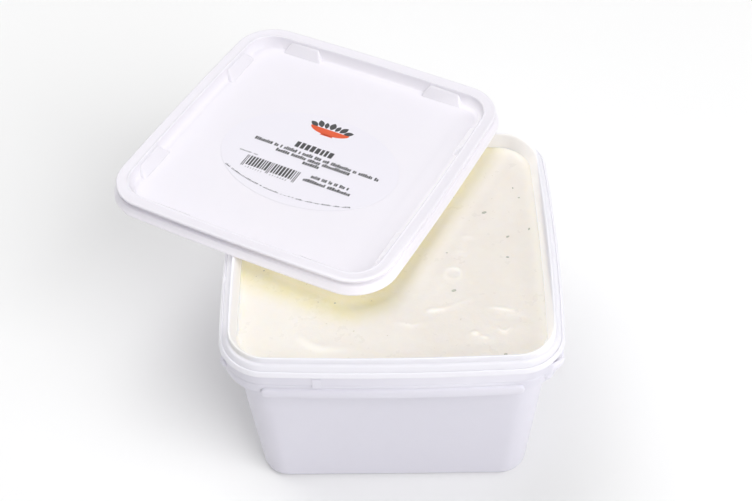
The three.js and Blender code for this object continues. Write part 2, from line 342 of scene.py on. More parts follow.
def face_out(mesh: Mesh, weld: float = WELD, sharp: float | None = None) -> None:
    """Merges doubled points, turns every face outwards and shades the mesh smooth.

    Args:
        mesh: The mesh to settle.
        weld: Points closer than this become one.
        sharp: Edges that bend more than this angle stay sharp.
    """
    work = bmesh.new()
    work.from_mesh(mesh)
    bmesh.ops.remove_doubles(work, verts=work.verts, dist=weld)
    bmesh.ops.recalc_face_normals(work, faces=work.faces)
    for face in work.faces:
        face.smooth = True
    work.to_mesh(mesh)
    work.free()
    if sharp is not None:
        mesh.set_sharp_from_angle(angle=sharp)


def points_of(mesh: Mesh) -> np.ndarray:
    """A mesh's points as rows, in mm."""
    points = np.empty(len(mesh.vertices) * 3)
    mesh.vertices.foreach_get("co", points)
    return points.reshape(-1, 3) / MM


def move_points(mesh: Mesh, points: np.ndarray) -> None:
    """Puts a mesh's points at new places, given as rows in mm."""
    mesh.vertices.foreach_set("co", (points * MM).ravel())
    mesh.update()


def store(mesh: Mesh, name: str, values: Sequence[float] | np.ndarray) -> None:
    """Gives a mesh's points a number attribute, with one value for each point."""
    numbers = np.asarray(values, dtype=np.float32)
    mesh.attributes.new(name, "FLOAT", "POINT").data.foreach_set("value", numbers)


def paint(mesh: Mesh, name: str, rule: Rule) -> None:
    """Gives a mesh's points a number attribute that its material reads.

    Args:
        mesh: The mesh.
        name: The attribute's name.
        rule: Takes the points' X, Y and Z in mm and gives values between 0 and 1.
    """
    store(mesh, name, rule(*points_of(mesh).T))


def ramp(value: np.ndarray, start: float, end: float) -> np.ndarray:
    """Rises smoothly from 0 at the start to 1 at the end."""
    share = np.clip((value - start) / (end - start), 0.0, 1.0)
    return share * share * (3 - 2 * share)


def bell(value: np.ndarray, width: float, middle: float = 0.0) -> np.ndarray:
    """A bell curve that is 1 at its middle and about a third one width away from it."""
    return np.exp(-(((value - middle) / width) ** 2))


def square_reach(x: np.ndarray, y: np.ndarray, middle: float) -> np.ndarray:
    """Half-width of the rounded square through each point, whose corners turn at a middle."""
    return middle + np.hypot(np.maximum(np.abs(x) - middle, 0), np.maximum(np.abs(y) - middle, 0))


def joined(parts: Iterable[Placed], name: str) -> Mesh:
    """Puts several meshes into one.

    Args:
        parts: Each mesh, which is used up, with the matrix that places it.
        name: The new mesh's name.

    Returns:
        The joined mesh.
    """
    work = bmesh.new()
    for mesh, place in parts:
        mesh.transform(place)
        work.from_mesh(mesh)
        bpy.data.meshes.remove(mesh)
    return settle(work, name)


def ring_faces(low: int, count: int) -> list[tuple[int, int, int, int]]:
    """Faces between a ring of points and the next ring, by the number of the first point."""
    pairs = [(low + i, low + (i + 1) % count) for i in range(count)]
    return [(here, beyond, beyond + count, here + count) for here, beyond in pairs]


def prism(outline: Sequence[Spot], bottom: float, top: float, edge: float = 0.0) -> Mesh:
    """A flat shape with a thickness and an eased upper edge.

    Args:
        outline: Its corners, anticlockwise, in mm.
        bottom: Height of its underside in mm.
        top: Height of its top in mm.
        edge: How far the upper edge is eased, in mm.

    Returns:
        The mesh, in metres.
    """
    count = len(outline)
    middle = np.mean(outline, axis=0)
    rings = [(0.0, bottom), (0.0, top - edge)] + ([(edge, top)] if edge else [])
    points = []
    for inset, height in rings:
        for corner in outline:
            out = np.subtract(corner, middle)
            reach = max(float(np.hypot(*out)), 1e-6)
            x, y = middle + out * (1 - inset / reach)
            points.append((x * MM, y * MM, height * MM))
    faces = [tuple(reversed(range(count))), tuple(range(len(points) - count, len(points)))]
    for ring in range(len(rings) - 1):
        faces += ring_faces(ring * count, count)
    mesh = bpy.data.meshes.new("prism")
    mesh.from_pydata(points, [], faces)
    return mesh


def tube(rings: Sequence[Sequence[Place]], name: str) -> Mesh:
    """Skins a row of outlines with equally many points and closes both ends.

    Args:
        rings: The outlines in order, in mm.
        name: The mesh's name.

    Returns:
        The mesh, in metres.
    """
    count, last = len(rings[0]), len(rings) - 1
    faces = [face for ring in range(last) for face in ring_faces(ring * count, count)]
    faces += [tuple(range(count)), tuple(range(last * count, (last + 1) * count))]
    mesh = bpy.data.meshes.new(name)
    mesh.from_pydata([tuple(c * MM for c in point) for ring in rings for point in ring], [], faces)
    return mesh


def oval(x: float, y: float, half_x: float, half_y: float, steps: int) -> list[Spot]:
    """Corners of an oval, anticlockwise, in mm."""
    angles = (2 * math.pi * step / steps for step in range(steps))
    return [(x + half_x * math.cos(a), y + half_y * math.sin(a)) for a in angles]


# ---------------------------------------------------------------- rounded square lofts


LEVEL_SIZES = ("half", "height", "corner", "bow")


@dataclass(frozen=True)
class Level:
    """One level of a loft: half-width at mid-side, height, corner radius and bulge, in mm."""

    half: float
    z: float
    corner: float = 0.0
    bow: float = 0.0
    soft: float = 0.25

    def mix(self, other: "Level", share: float) -> "Level":
        """The level part of the way to another one."""
        values = (a + (b - a) * share for a, b in zip(self.sizes(), other.sizes()))
        return Level(*values, soft=self.soft)

    def sizes(self) -> tuple[float, float, float, float]:
        """The four sizes in order."""
        return self.half, self.z, self.corner, self.bow

    def reach(self, other: "Level") -> float:
        """Distance to another level in the profile's plane."""
        return math.hypot(other.half - self.half, other.z - self.z)


def softened(levels: Sequence[Level]) -> list[Level]:
    """Rounds a profile's corners by each level's own softness.

    Args:
        levels: The profile's corners in order.

    Returns:
        The rounded profile.
    """
    arc_steps, longest_share, shortest_pull = 3, 0.48, 0.02
    result = [levels[0]]
    for before, here, after in zip(levels, levels[1:], levels[2:]):
        room = min(longest_share * here.reach(before), longest_share * here.reach(after))
        pull = min(here.soft, room)
        if pull < shortest_pull:
            result.append(here)
            continue
        enter = here.mix(before, pull / here.reach(before))
        leave = here.mix(after, pull / here.reach(after))
        for step in range(arc_steps + 1):
            share = step / arc_steps
            result.append(enter.mix(here, share).mix(here.mix(leave, share), share))
    result.append(levels[-1])
    return result


def profile_mesh(levels: Iterable[Level]) -> Mesh:
    """A polyline whose points carry the sizes of a loft's levels.

    Args:
        levels: The loft's levels in order, in mm.

    Returns:
        The polyline, whose attributes are in metres.
    """
    rows = np.array([level.sizes() for level in levels]) * MM
    edges = [(i, i + 1) for i in range(len(rows) - 1)]
    mesh = bpy.data.meshes.new("profile")
    mesh.from_pydata([(half, 0, height) for half, height, *_ in rows], edges, [])
    for column, name in enumerate(LEVEL_SIZES):
        store(mesh, name, rows[:, column])
    return mesh


def loft_recipe() -> Recipe:
    """Sweeps a profile round a square with rounded corners and gently bulging sides."""
    recipe = Recipe("rounded_square_loft", {"Side Steps": 14, "Corner Steps": 14})
    side_steps, corner_steps = recipe.size("Side Steps"), recipe.size("Corner Steps")
    per_side = side_steps + corner_steps
    start_circle = {"Resolution": per_side * float(SIDES), "Radius": 0.1}
    circle = recipe.shape("GeometryNodeCurvePrimitiveCircle", start_circle)
    index = recipe.shape("GeometryNodeInputIndex")
    stations = recipe.node("GeometryNodeCaptureAttribute", {"Geometry": circle})
    stations.capture_items.new("FLOAT", "Station")
    join(recipe.tree, index, stations.inputs[1])
    profile = recipe.shape("GeometryNodeMeshToCurve", {"Mesh": recipe.start})
    sweep = {"Curve": stations.outputs[0], "Profile Curve": profile, "Fill Caps": False}
    swept = recipe.shape("GeometryNodeCurveToMesh", sweep)
    station = Field(recipe.tree, stations.outputs[1])
    half, height, corner, bow = (recipe.attribute(name) for name in LEVEL_SIZES)
    side = ((station + 0.5) / per_side).math("FLOOR")
    place = station - side * per_side
    flat = half - bow
    radius = corner.math("MINIMUM", flat)
    centre = flat - radius
    turn = ((place - side_steps) / corner_steps).math("MAXIMUM", 0.0) * (math.pi / 2)
    run = (place / side_steps).math("MINIMUM", 1.0)
    x = centre + radius * turn.math("COSINE")
    y = centre * (run * 2.0 - 1.0) + radius * turn.math("SINE")
    span = flat.math("MAXIMUM", 1e-6)
    across, along = x / span, y.math("ABSOLUTE") / span
    u = x + bow * across**4.0 * (1.0 - along * along)
    v = y + y.math("SIGN") * bow * along**4.0 * (1.0 - across * across)
    quarter = side * (math.pi / 2)
    cos, sin = quarter.math("COSINE"), quarter.math("SINE")
    place_at = recipe.vector(u * cos - v * sin, u * sin + v * cos, height)
    moved = recipe.shape("GeometryNodeSetPosition", {"Geometry": swept, "Position": place_at})
    recipe.close(recipe.shape("GeometryNodeMergeByDistance", {"Geometry": moved, "Distance": WELD}))
    return recipe


def side_bulge(half: float, bow: float, along: float) -> float:
    """How far a bulging side lies from the middle, at a distance along it, in mm."""
    flat = half - bow
    return flat + bow * (1 - min(1.0, abs(along) / flat) ** 2)


def copies_recipe() -> Recipe:
    """Repeats a shape round the vertical axis, once for each side of the square."""
    recipe = Recipe("round_the_sides", {"Copies": SIDES})
    copies = recipe.size("Copies")
    points = recipe.shape("GeometryNodePoints", {"Count": copies})
    index = Field(recipe.tree, recipe.shape("GeometryNodeInputIndex"))
    spin = recipe.vector(0.0, 0.0, index / copies * (2 * math.pi))
    recipe.close(recipe.on_points(points, recipe.start, Rotation=spin))
    return recipe


def row_recipe() -> Recipe:
    """Sets a row of marks of uneven width, in words, along a line or a shallow arc."""
    words = {"Gap": 0.35, "Word Gap": 1.2, "Word Share": 0.15}
    marks = {"Marks": 40, "Thin": 0.3, "Thick": 0.8, "Low": 0.0012, "High": 0.002, "Depth": 0.00003}
    recipe = Recipe("printed_row", {"Length": 0.05, "Bend": 100.0, "Seed": 1, **words, **marks})
    seed, length, bend = (recipe.size(title) for title in ("Seed", "Length", "Bend"))
    points = recipe.shape("GeometryNodePoints", {"Count": recipe.size("Marks")})
    width = recipe.random(recipe.size("Thin"), recipe.size("Thick"), 0, seed)
    word_end = recipe.random(0.0, 1.0, 100, seed).math("LESS_THAN", recipe.size("Word Share"))
    step = width + recipe.size("Gap") + word_end * recipe.size("Word Gap")
    total = recipe.node("GeometryNodeAccumulateField", {0: step}, data_type="FLOAT", domain="POINT")
    before, whole = (Field(recipe.tree, total.outputs[title]) for title in ("Trailing", "Total"))
    stretch = length / whole
    turn = ((before + width * 0.5) * stretch - length * 0.5) / bend
    rise = (turn * 0.5).math("SINE") ** 2.0 * 2.0
    place = recipe.vector(bend * turn.math("SINE") + length * 0.5, bend * rise, 0.0)
    set_out = recipe.shape("GeometryNodeSetPosition", {"Geometry": points, "Position": place})
    tall = recipe.random(recipe.size("Low"), recipe.size("High"), 200, seed)
    printed = recipe.on_points(
        set_out,
        recipe.start,
        Rotation=recipe.vector(0.0, 0.0, turn),
        Scale=recipe.vector(width * stretch, tall, recipe.size("Depth")),
    )
    recipe.close(printed)
    return recipe


def flake_recipe() -> Recipe:
    """Lays an irregular flake at each start point, with the point's own heading and length."""
    sizes = {"Width": 0.6, "Thickness": 0.0003, "Ragged": 0.0005, "Ragged Scale": 900.0}
    recipe = Recipe("herb_flakes", sizes)
    long, ragged = recipe.attribute("long"), recipe.size("Ragged")
    body = recipe.shape("GeometryNodeMeshIcoSphere", {"Radius": 1.0, "Subdivisions": 3})
    flakes = recipe.on_points(
        recipe.start,
        body,
        Rotation=recipe.vector(0.0, 0.0, recipe.attribute("heading")),
        Scale=recipe.vector(long, long * recipe.size("Width"), recipe.size("Thickness")),
    )
    real = recipe.shape("GeometryNodeRealizeInstances", {0: flakes})
    texture = {"Scale": recipe.size("Ragged Scale"), "Detail": 2.0}
    noise = recipe.node("ShaderNodeTexNoise", texture).outputs[1]
    half = (0.5, 0.5, 0.5)
    centred = recipe.shape("ShaderNodeVectorMath", {0: noise, 1: half}, operation="SUBTRACT")
    flat = {0: centred, 1: recipe.vector(ragged, ragged, 0.0)}
    offset = recipe.shape("ShaderNodeVectorMath", flat, operation="MULTIPLY")
    moved = recipe.shape("GeometryNodeSetPosition", {"Geometry": real, "Offset": offset})
    recipe.close(recipe.shape("GeometryNodeSetShadeSmooth", {"Geometry": moved}))
    return recipe


def speck_recipe() -> Recipe:
    """Scatters fine specks over the start surface."""
    least_stretch, most_stretch, flatness = 0.9, 2.2, 0.5
    recipe = Recipe("fine_specks", {"Density": 1300.0, "Small": 0.0001, "Large": 0.0003, "Seed": 5})
    seed = recipe.size("Seed")
    scatter = {"Mesh": recipe.start, "Density": recipe.size("Density"), "Seed": seed}
    points = recipe.shape("GeometryNodeDistributePointsOnFaces", scatter)
    body = recipe.shape("GeometryNodeMeshIcoSphere", {"Radius": 1.0, "Subdivisions": 1})
    size = recipe.random(recipe.size("Small"), recipe.size("Large"), 1, seed)
    stretch = recipe.random(least_stretch, most_stretch, 2, seed)
    specks = recipe.on_points(
        points,
        body,
        Rotation=recipe.vector(0.0, 0.0, recipe.random(0.0, math.pi, 3, seed)),
        Scale=recipe.vector(size * stretch, size, size * flatness),
    )
    recipe.close(specks)
    return recipe


# ---------------------------------------------------------------- shared shader groups


class ShaderGroup:
    """A shader node group with named inputs and outputs, built once and placed in materials."""

    def __init__(self, name: str, inputs: Mapping[str, float], output: str) -> None:
        """Makes the group.

        Args:
            name: The group's name.
            inputs: Input names and usual values.
            output: The output's name.
        """
        self.tree = bpy.data.node_groups.new(name, "ShaderNodeTree")
        sockets, kind = self.tree.interface, "NodeSocketFloat"
        for title, value in inputs.items():
            sockets.new_socket(title, in_out="INPUT", socket_type=kind).default_value = value
        sockets.new_socket(output, in_out="OUTPUT", socket_type=kind)
        self.entry = self.tree.nodes.new("NodeGroupInput")
        self.place = self.tree.nodes.new("ShaderNodeTexCoord").outputs["Object"]

    def value(self, title: str) -> Field:
        """A named input as a field."""
        return Field(self.tree, self.entry.outputs[title])

    def noise(self, feature: Field, detail: float = 3.0) -> Field:
        """Noise whose features have a size in metres.

        Args:
            feature: Size of the features.
            detail: How many finer layers it has.

        Returns:
            The noise, between 0 and 1.
        """
        texture = {"Vector": self.place, "Scale": 1.0 / feature, "Detail": detail}
        node = add_node(self.tree, "ShaderNodeTexNoise", texture)
        return Field(self.tree, node.outputs[0])

    def close(self, result: Field) -> None:
        """Sends a value out of the group."""
        end = self.tree.nodes.new("NodeGroupOutput")
        self.tree.links.new(result.socket, end.inputs[0])


def mottle_group() -> ShaderGroup:
    """Soft cloudy mask from two sizes of noise."""
    cloud_share, fleck_share = 0.65, 0.35
    group = ShaderGroup("soft_mottle", {"Cloud": 0.02, "Fleck": 0.004, "Contrast": 2.0}, "Mask")
    clouds = group.noise(group.value("Cloud")) * cloud_share
    clouds = clouds + group.noise(group.value("Fleck")) * fleck_share
    spread = (clouds - 0.5) * group.value("Contrast") + 0.5
    group.close(spread.math("MINIMUM", 1.0).math("MAXIMUM", 0.0))
    return group


def relief_group() -> ShaderGroup:
    """Height of a fine grain on top of a slow ripple."""
    sizes = {"Grain": 0.0006, "Ripple": 0.01, "Ripple Share": 0.5}
    group = ShaderGroup("fine_relief", sizes, "Height")
    share = group.value("Ripple Share")
    grain = group.noise(group.value("Grain"), detail=2.0) * (1.0 - share)
    group.close(grain + group.noise(group.value("Ripple"), detail=1.0) * share)
    return group


@dataclass(frozen=True)
class SharedGroups:
    """The shader groups that the finishes share."""

    mottle: ShaderGroup
    relief: ShaderGroup


@dataclass(frozen=True)
class Clouds:
    """A cloudy mask: the sizes of its clouds and flecks in metres, and its contrast."""

    cloud: float
    fleck: float
    contrast: float


@dataclass(frozen=True)
class Relief:
    """A fine relief: its grain, its ripple, the ripple's share and its depth, in metres."""

    grain: float
    ripple: float
    share: float
    depth: float


# ---------------------------------------------------------------- finishes


class Dressing:
    """One material under construction, with its Principled shader."""

    def __init__(self, name: str) -> None:
        """Makes an empty material with its shader and output."""
        self.material = bpy.data.materials.new(name)
        self.material.use_nodes = True
        self.tree = self.material.node_tree
        self.tree.nodes.clear()
        self.shader = self.tree.nodes.new("ShaderNodeBsdfPrincipled")
        output = self.tree.nodes.new("ShaderNodeOutputMaterial")
        self.tree.links.new(self.shader.outputs[0], output.inputs["Surface"])

    def constants(self, **values: object) -> None:
        """Sets the shader's own sockets, with underscores for spaces."""
        for title, value in spaced(values).items():
            self.shader.inputs[title].default_value = value

    def group(self, group: ShaderGroup, inputs: Inputs) -> Field:
        """Places a shared group with its own values and gives its output."""
        node = add_node(self.tree, "ShaderNodeGroup", inputs, node_tree=group.tree)
        return Field(self.tree, node.outputs[0])

    def mask(self, groups: SharedGroups, clouds: Clouds) -> Field:
        """A cloudy mask from the shared group."""
        inputs = {"Cloud": clouds.cloud, "Fleck": clouds.fleck, "Contrast": clouds.contrast}
        return self.group(groups.mottle, inputs)

    def attribute(self, name: str) -> Field:
        """A number attribute of the piece."""
        node = add_node(self.tree, "ShaderNodeAttribute", attribute_name=name)
        return Field(self.tree, node.outputs["Fac"])

    def blend(
        self, mask: Field | float, low: object, high: object, mode: str = "MIX"
    ) -> NodeSocket:
        """Mixes two colours by a mask.

        Args:
            mask: 0 gives the low colour and 1 the high one.
            low: A colour, or a socket with one.
            high: A colour, or a socket with one.
            mode: The Mix node's blend type.

        Returns:
            The mixed colour.
        """
        node = add_node(self.tree, "ShaderNodeMix", {0: mask}, data_type="RGBA", blend_type=mode)
        for slot, value in ((node.inputs[6], low), (node.inputs[7], high)):
            join(self.tree, (*value, 1.0) if isinstance(value, tuple) else value, slot)
        return node.outputs[2]

    def feed(self, title: str, value: object) -> None:
        """Links a varying value to one of the shader's sockets."""
        join(self.tree, value, self.shader.inputs[title])

    def bump(self, groups: SharedGroups, relief: Relief) -> None:
        """Feeds the shader's normal from the shared relief."""
        sizes = {"Grain": relief.grain, "Ripple": relief.ripple, "Ripple Share": relief.share}
        height = self.group(groups.relief, sizes)
        inputs = {"Strength": 1.0, "Distance": relief.depth, "Height": height}
        self.feed("Normal", add_node(self.tree, "ShaderNodeBump", inputs).outputs[0])

    def dull(self, mask: Field, smooth: float, rise: float) -> None:
        """Feeds the roughness, which rises from its smooth value with a mask."""
        self.feed("Roughness", mask * rise + smooth)

    def shine_through(self, glow: Rgb) -> None:
        """Feeds a painted glow, standing for daylight through the material, where the piece's own
        attribute says so.
        """
        self.feed("Emission Color", self.blend(self.attribute("painted_glow"), BLACK, glow))
        self.constants(Emission_Strength=1.0)


@dataclass(frozen=True)
class MouldedPlastic:
    """White polypropylene: a soft sheen, a faint ripple, handling haze and light from behind.

    The piece's attributes give its colour painted shading: painted shade on the tub's body below
    the flange, for the dark filled inside seen through the wall, and a lighter painted tone on the
    lid's panel; a painted warm bounce tint on the inner wall above the filling; and a painted glow
    that stands for daylight through the thin sheet.
    """

    name: str
    colour: Rgb
    painted_backed_shading: Rgb
    painted_cream_bounce: Rgb = (0.84, 0.82, 0.805)
    glow: Rgb = (0.30, 0.295, 0.29)
    hazy: float = 0.985
    roughness: float = 0.36
    haze_roughness: float = 0.5
    haze: Clouds = Clouds(0.05, 0.009, 2.4)
    relief: Relief = Relief(0.0009, 0.014, 0.8, 0.00009)

    def build(self, groups: SharedGroups) -> Material:
        """Makes the material."""
        dressing = Dressing(self.name)
        haze = dressing.mask(groups, self.haze)
        # Painted shading: the second colour, darker on the tub's body and lighter on the lid's
        # panel.
        clean = dressing.blend(dressing.attribute("painted_backed_shading"), self.colour, self.painted_backed_shading)
        # Painted bounce light: a warm, paler tint on the inner wall above the filling.
        toned = dressing.blend(dressing.attribute("painted_cream_bounce"), clean, self.painted_cream_bounce)
        dulled = dressing.blend(haze, WHITE, (self.hazy,) * 3)
        dressing.feed("Base Color", dressing.blend(1.0, toned, dulled, "MULTIPLY"))
        dressing.shine_through(self.glow)
        dressing.dull(haze, self.roughness, self.haze_roughness - self.roughness)
        dressing.bump(groups, self.relief)
        dressing.constants(
            IOR=1.49,
            Subsurface_Weight=0.5,
            Subsurface_Radius=(1.0, 0.97, 0.95),
            Subsurface_Scale=0.001,
            Coat_Weight=0.06,
            Coat_Roughness=0.2,
        )
        return dressing.material


@dataclass(frozen=True)
class Cream:
    """Thick yoghurt: pale and slightly translucent, wet in places, with a fine curd, painted
    highlights, painted shade and a painted glow.
    """

    name: str = "herb_yoghurt"
    colour: Rgb = (0.745, 0.70, 0.65)
    pale: Rgb = (0.775, 0.74, 0.695)
    # Painted light and shade colours: paler along the wall, paler on the crests as a painted
    # highlight, and yellower under the lid as its painted shade.
    at_wall: Rgb = (0.84, 0.805, 0.745)
    crest: Rgb = (0.845, 0.815, 0.765)
    under_lid: Rgb = (0.775, 0.72, 0.47)
    glow: Rgb = (0.25, 0.2375, 0.20)
    wet: float = 0.24
    dry: float = 0.42
    clouds: Clouds = Clouds(0.03, 0.005, 2.2)
    # Dapple on the edge of the lid's painted shade.
    shade_dapple: Clouds = Clouds(0.009, 0.004, 2.2)
    shade_dapple_low: float = 0.5
    shade_dapple_rise: float = 0.8
    wetness: Clouds = Clouds(0.012, 0.003, 2.6)
    relief: Relief = Relief(0.0016, 0.006, 0.7, 0.00025)

    def build(self, groups: SharedGroups) -> Material:
        """Makes the material."""
        dressing = Dressing(self.name)
        body = dressing.blend(dressing.mask(groups, self.clouds), self.colour, self.pale)
        # Painted highlight: the ridges and the left part are paler, standing for the sheen on them.
        painted_sheen = dressing.blend(dressing.attribute("crest"), body, self.crest)
        # Painted light: a paler strip along the tub's wall, in place of the contact shade and for
        # the light the meniscus catches.
        walled = dressing.blend(dressing.attribute("painted_wall_light"), painted_sheen, self.at_wall)
        # Painted shade of the lid, its edge broken by the dapple.
        shade_dapple = dressing.mask(groups, self.shade_dapple) * self.shade_dapple_rise + self.shade_dapple_low
        shade = (dressing.attribute("lid_shade") * shade_dapple).math("MINIMUM", 1.0)
        dressing.feed("Base Color", dressing.blend(shade, walled, self.under_lid))
        dressing.shine_through(self.glow)
        dressing.dull(dressing.mask(groups, self.wetness), self.wet, self.dry - self.wet)
        dressing.bump(groups, self.relief)
        dressing.constants(
            IOR=1.4,
            Subsurface_Weight=0.8,
            Subsurface_Radius=(1.0, 0.85, 0.6),
            Subsurface_Scale=0.0025,
        )
        return dressing.material


@dataclass(frozen=True)
class TwoTone:
    """A finish that drifts between two colours and grows duller with the second one."""

    name: str
    colour: Rgb
    other: Rgb
    clouds: Clouds
    relief: Relief
    roughness: float
    rise: float
    ior: float = 1.5

    def build(self, groups: SharedGroups) -> Material:
        """Makes the material."""
        dressing = Dressing(self.name)
        mask = dressing.mask(groups, self.clouds)
        dressing.feed("Base Color", dressing.blend(mask, self.colour, self.other))
        dressing.dull(mask, self.roughness, self.rise)
        dressing.bump(groups, self.relief)
        dressing.constants(IOR=self.ior)
        return dressing.material


@dataclass(frozen=True)
class HerbLeaf(TwoTone):
    """Chopped herb that shows through a skin of yoghurt."""

    name: str = "chopped_herb"
    colour: Rgb = (0.33, 0.34, 0.28)
    other: Rgb = (0.54, 0.54, 0.46)
    clouds: Clouds = Clouds(0.012, 0.0006, 3.0)
    relief: Relief = Relief(0.0003, 0.001, 0.4, 0.00008)
    roughness: float = 0.35
    rise: float = 0.3


@dataclass(frozen=True)
class LabelFilm(TwoTone):
    """Thin satin film, a shade bluer than the lid below it."""

    name: str = "satin_film"
    colour: Rgb = (0.775, 0.755, 0.82)
    other: Rgb = (0.785, 0.765, 0.825)
    clouds: Clouds = Clouds(0.03, 0.002, 1.6)
    relief: Relief = Relief(0.0005, 0.02, 0.7, 0.00004)
    roughness: float = 0.4
    rise: float = 0.12
    ior: float = 1.46


@dataclass(frozen=True)
class Ink(TwoTone):
    """Printed colour with the slight unevenness of a label printer."""

    clouds: Clouds = Clouds(0.004, 0.0005, 2.0)
    relief: Relief = Relief(0.0004, 0.002, 0.3, 0.00002)
    roughness: float = 0.4
    rise: float = 0.15


# ---------------------------------------------------------------- the tub


@dataclass(frozen=True)
class Tub:
    """The square tub with its bead, shoulder, rolled flange, skirt, grip bars and tear band."""

    rim_height: float = 108.9
    rim_half: float = 84.4
    rim_bow: float = 2.9
    rim_corner: float = 20.6
    bead_half: float = 78.9
    bead_corner: float = 17.3
    skirt_bottom: float = 87.8
    body_top_half: float = 76.1
    body_top_corner: float = 17.2
    base_half: float = 68.5
    base_corner: float = 13.7
    base_round: float = 4.3
    wall: float = 1.3

    def body(self, z: float, inset: float = 0.0, soft: float = 0.25) -> Level:
        """The tapered body's outside at a height, or a level inside it by an inset."""
        share = z / self.skirt_bottom
        half = self.base_half + (self.body_top_half - self.base_half) * share - inset
        corner = self.base_corner + (self.body_top_corner - self.base_corner) * share - inset
        return Level(half, z, corner, 0.6 * share**2, soft)

    def rim(self, inset: float, z: float, bow: float | None = None, soft: float = 0.25) -> Level:
        """A level of the flange, given by how far it lies inside the outer edge."""
        bulge = self.rim_bow if bow is None else bow
        return Level(self.rim_half - inset, z, self.rim_corner - inset, bulge, soft)

    def inner(self, inset: float, z: float, bow: float, soft: float = 0.25) -> Level:
        """A level of the bead or the wall below it, given by how far it lies inside the crest."""
        return Level(self.bead_half - inset, z, self.bead_corner - 0.3 * inset, bow, soft)

    def bottom_edge(self, floor: float, inset: float, radius: float, steps: int = 8) -> list[Level]:
        """Levels of the rounded bottom edge, from the flat base to the side wall.

        Args:
            floor: Height of the base.
            inset: How far inside the body's outside the wall lies.
            radius: The edge's radius.
            steps: Facets in the quarter round.

        Returns:
            The levels, from the base outwards.
        """
        rim = self.body(floor + radius, inset)
        levels = []
        for step in range(steps + 1):
            angle = step / steps * math.pi / 2
            pull = radius * (1 - math.sin(angle))
            height = floor + radius * (1 - math.cos(angle))
            levels.append(Level(rim.half - pull, height, rim.corner - 0.6 * pull, 0.0, 0.0))
        return levels

    def underside(self) -> list[Level]:
        """Gate recess, flat middle and shallow channel of the underside."""
        return [
            Level(0, 0.35),
            Level(1.3, 0.35, 1.3, soft=0.2),
            Level(1.8, 0.7, 1.8, soft=0.2),
            Level(5.5, 0.7, 5.5, soft=0.2),
            Level(6.4, 0, 6.4, soft=0.3),
            Level(52, 0, 8, soft=0.3),
            Level(53.2, 0.9, 8.4, soft=0.4),
            Level(56.8, 0.9, 10, soft=0.4),
            Level(58, 0, 10.4, soft=0.3),
        ]

    def outside(self) -> list[Level]:
        """The body, the hollow under the flange and the skirt with its tear band."""
        low = self.skirt_bottom
        return [
            *self.bottom_edge(0, 0, self.base_round),
            *(self.body(z) for z in (20, 45, 68)),
            self.body(low, soft=1.5),
            self.rim(6.9, 98.5, 1.8, 1.5),
            self.rim(5.7, 103.0, 2.0, 0.8),
            self.rim(4.8, 104.6, 2.3, 0.5),
            self.rim(4.1, 104.3, 2.4, 0.4),
            self.rim(3.2, 101.8),
            self.rim(2.4, 100.2),
            self.rim(2.4, low + 0.4),
            self.rim(2.3, low),
            self.rim(1.5, low),
            self.rim(1.3, low + 0.4, soft=0.3),
            self.rim(1.2, 93.5, soft=0.25),
            self.rim(1.5, 93.8, soft=0.15),
            self.rim(1.5, 94.2, soft=0.15),
            self.rim(0.8, 94.6, soft=0.3),
            self.rim(0.75, 99.9, soft=0.1),
        ]

    def crown(self) -> list[Level]:
        """The rolled edge, locking groove, sloping shoulder, shelf and inner bead."""
        return [
            self.rim(0.55, 100.4, soft=0.06),
            self.rim(0, 100.8, soft=0.12),
            self.rim(0.1, 101.3, soft=0.2),
            self.rim(1.1, 102.9, soft=0.35),
            self.rim(1.6, 103.1, soft=0.1),
            self.rim(1.65, 102.75, soft=0.06),
            self.rim(1.85, 102.75, soft=0.06),
            self.rim(1.9, 103.05, soft=0.1),
            self.rim(3.3, 105.3, 2.6, 0.8),
            self.rim(4.0, 105.8, 2.5, 0.4),
            self.rim(4.5, 105.9, 2.45, 0.2),
            self.inner(-0.75, 106.3, 2.4, 0.2),
            self.inner(-0.65, 108.2, 2.4, 0.3),
            self.inner(-0.35, 108.75, 2.3, 0.2),
            self.inner(0, self.rim_height, 2.2, 0.2),
            self.inner(0.6, 108.7, 2.2, 0.3),
            self.inner(1.2, 107.8, 2.1, 0.5),
        ]

    def inside(self) -> list[Level]:
        """The inner wall down to the floor's middle."""
        floor = self.wall + 0.2
        return [
            self.inner(3.0, 103.6, 1.7, 0.6),
            self.inner(3.45, 102.2, 1.6, 0.4),
            self.inner(3.65, 101.2, 1.5, 0.4),
            self.inner(3.9, 99.0, 1.2, 1.0),
            self.body(self.skirt_bottom, self.wall, 2.0),
            self.body(45, self.wall),
            *reversed(self.bottom_edge(floor, self.wall, self.base_round - 0.8, 5)),
            Level(0, floor),
        ]

    def build_shell(self, loft: Recipe, finish: Material) -> Object:
        """Lofts the whole shell as one closed skin.

        Args:
            loft: The rounded square loft.
            finish: The plastic.

        Returns:
            The shell.
        """
        levels = softened([*self.underside(), *self.outside(), *self.crown(), *self.inside()])
        piece = loft.bake(profile_mesh(levels), "tub_shell", finish, Side_Steps=14, Corner_Steps=18)
        face_out(piece.data)
        self.zone(piece.data)
        return piece

    def zone(self, mesh: Mesh) -> None:
        """Marks the body that the filling backs, which takes a painted shade, the bare inner wall
        above it, which takes a painted warm bounce tint, and where a painted glow goes.
        """
        middle = self.bead_half - self.bead_corner

        def inner(x: np.ndarray, y: np.ndarray, z: np.ndarray) -> np.ndarray:
            """The inner wall between the filling and the bead's crest."""
            return (1 - ramp(square_reach(x, y, middle), 76.6, 77.8)) * ramp(z, 90, 99)

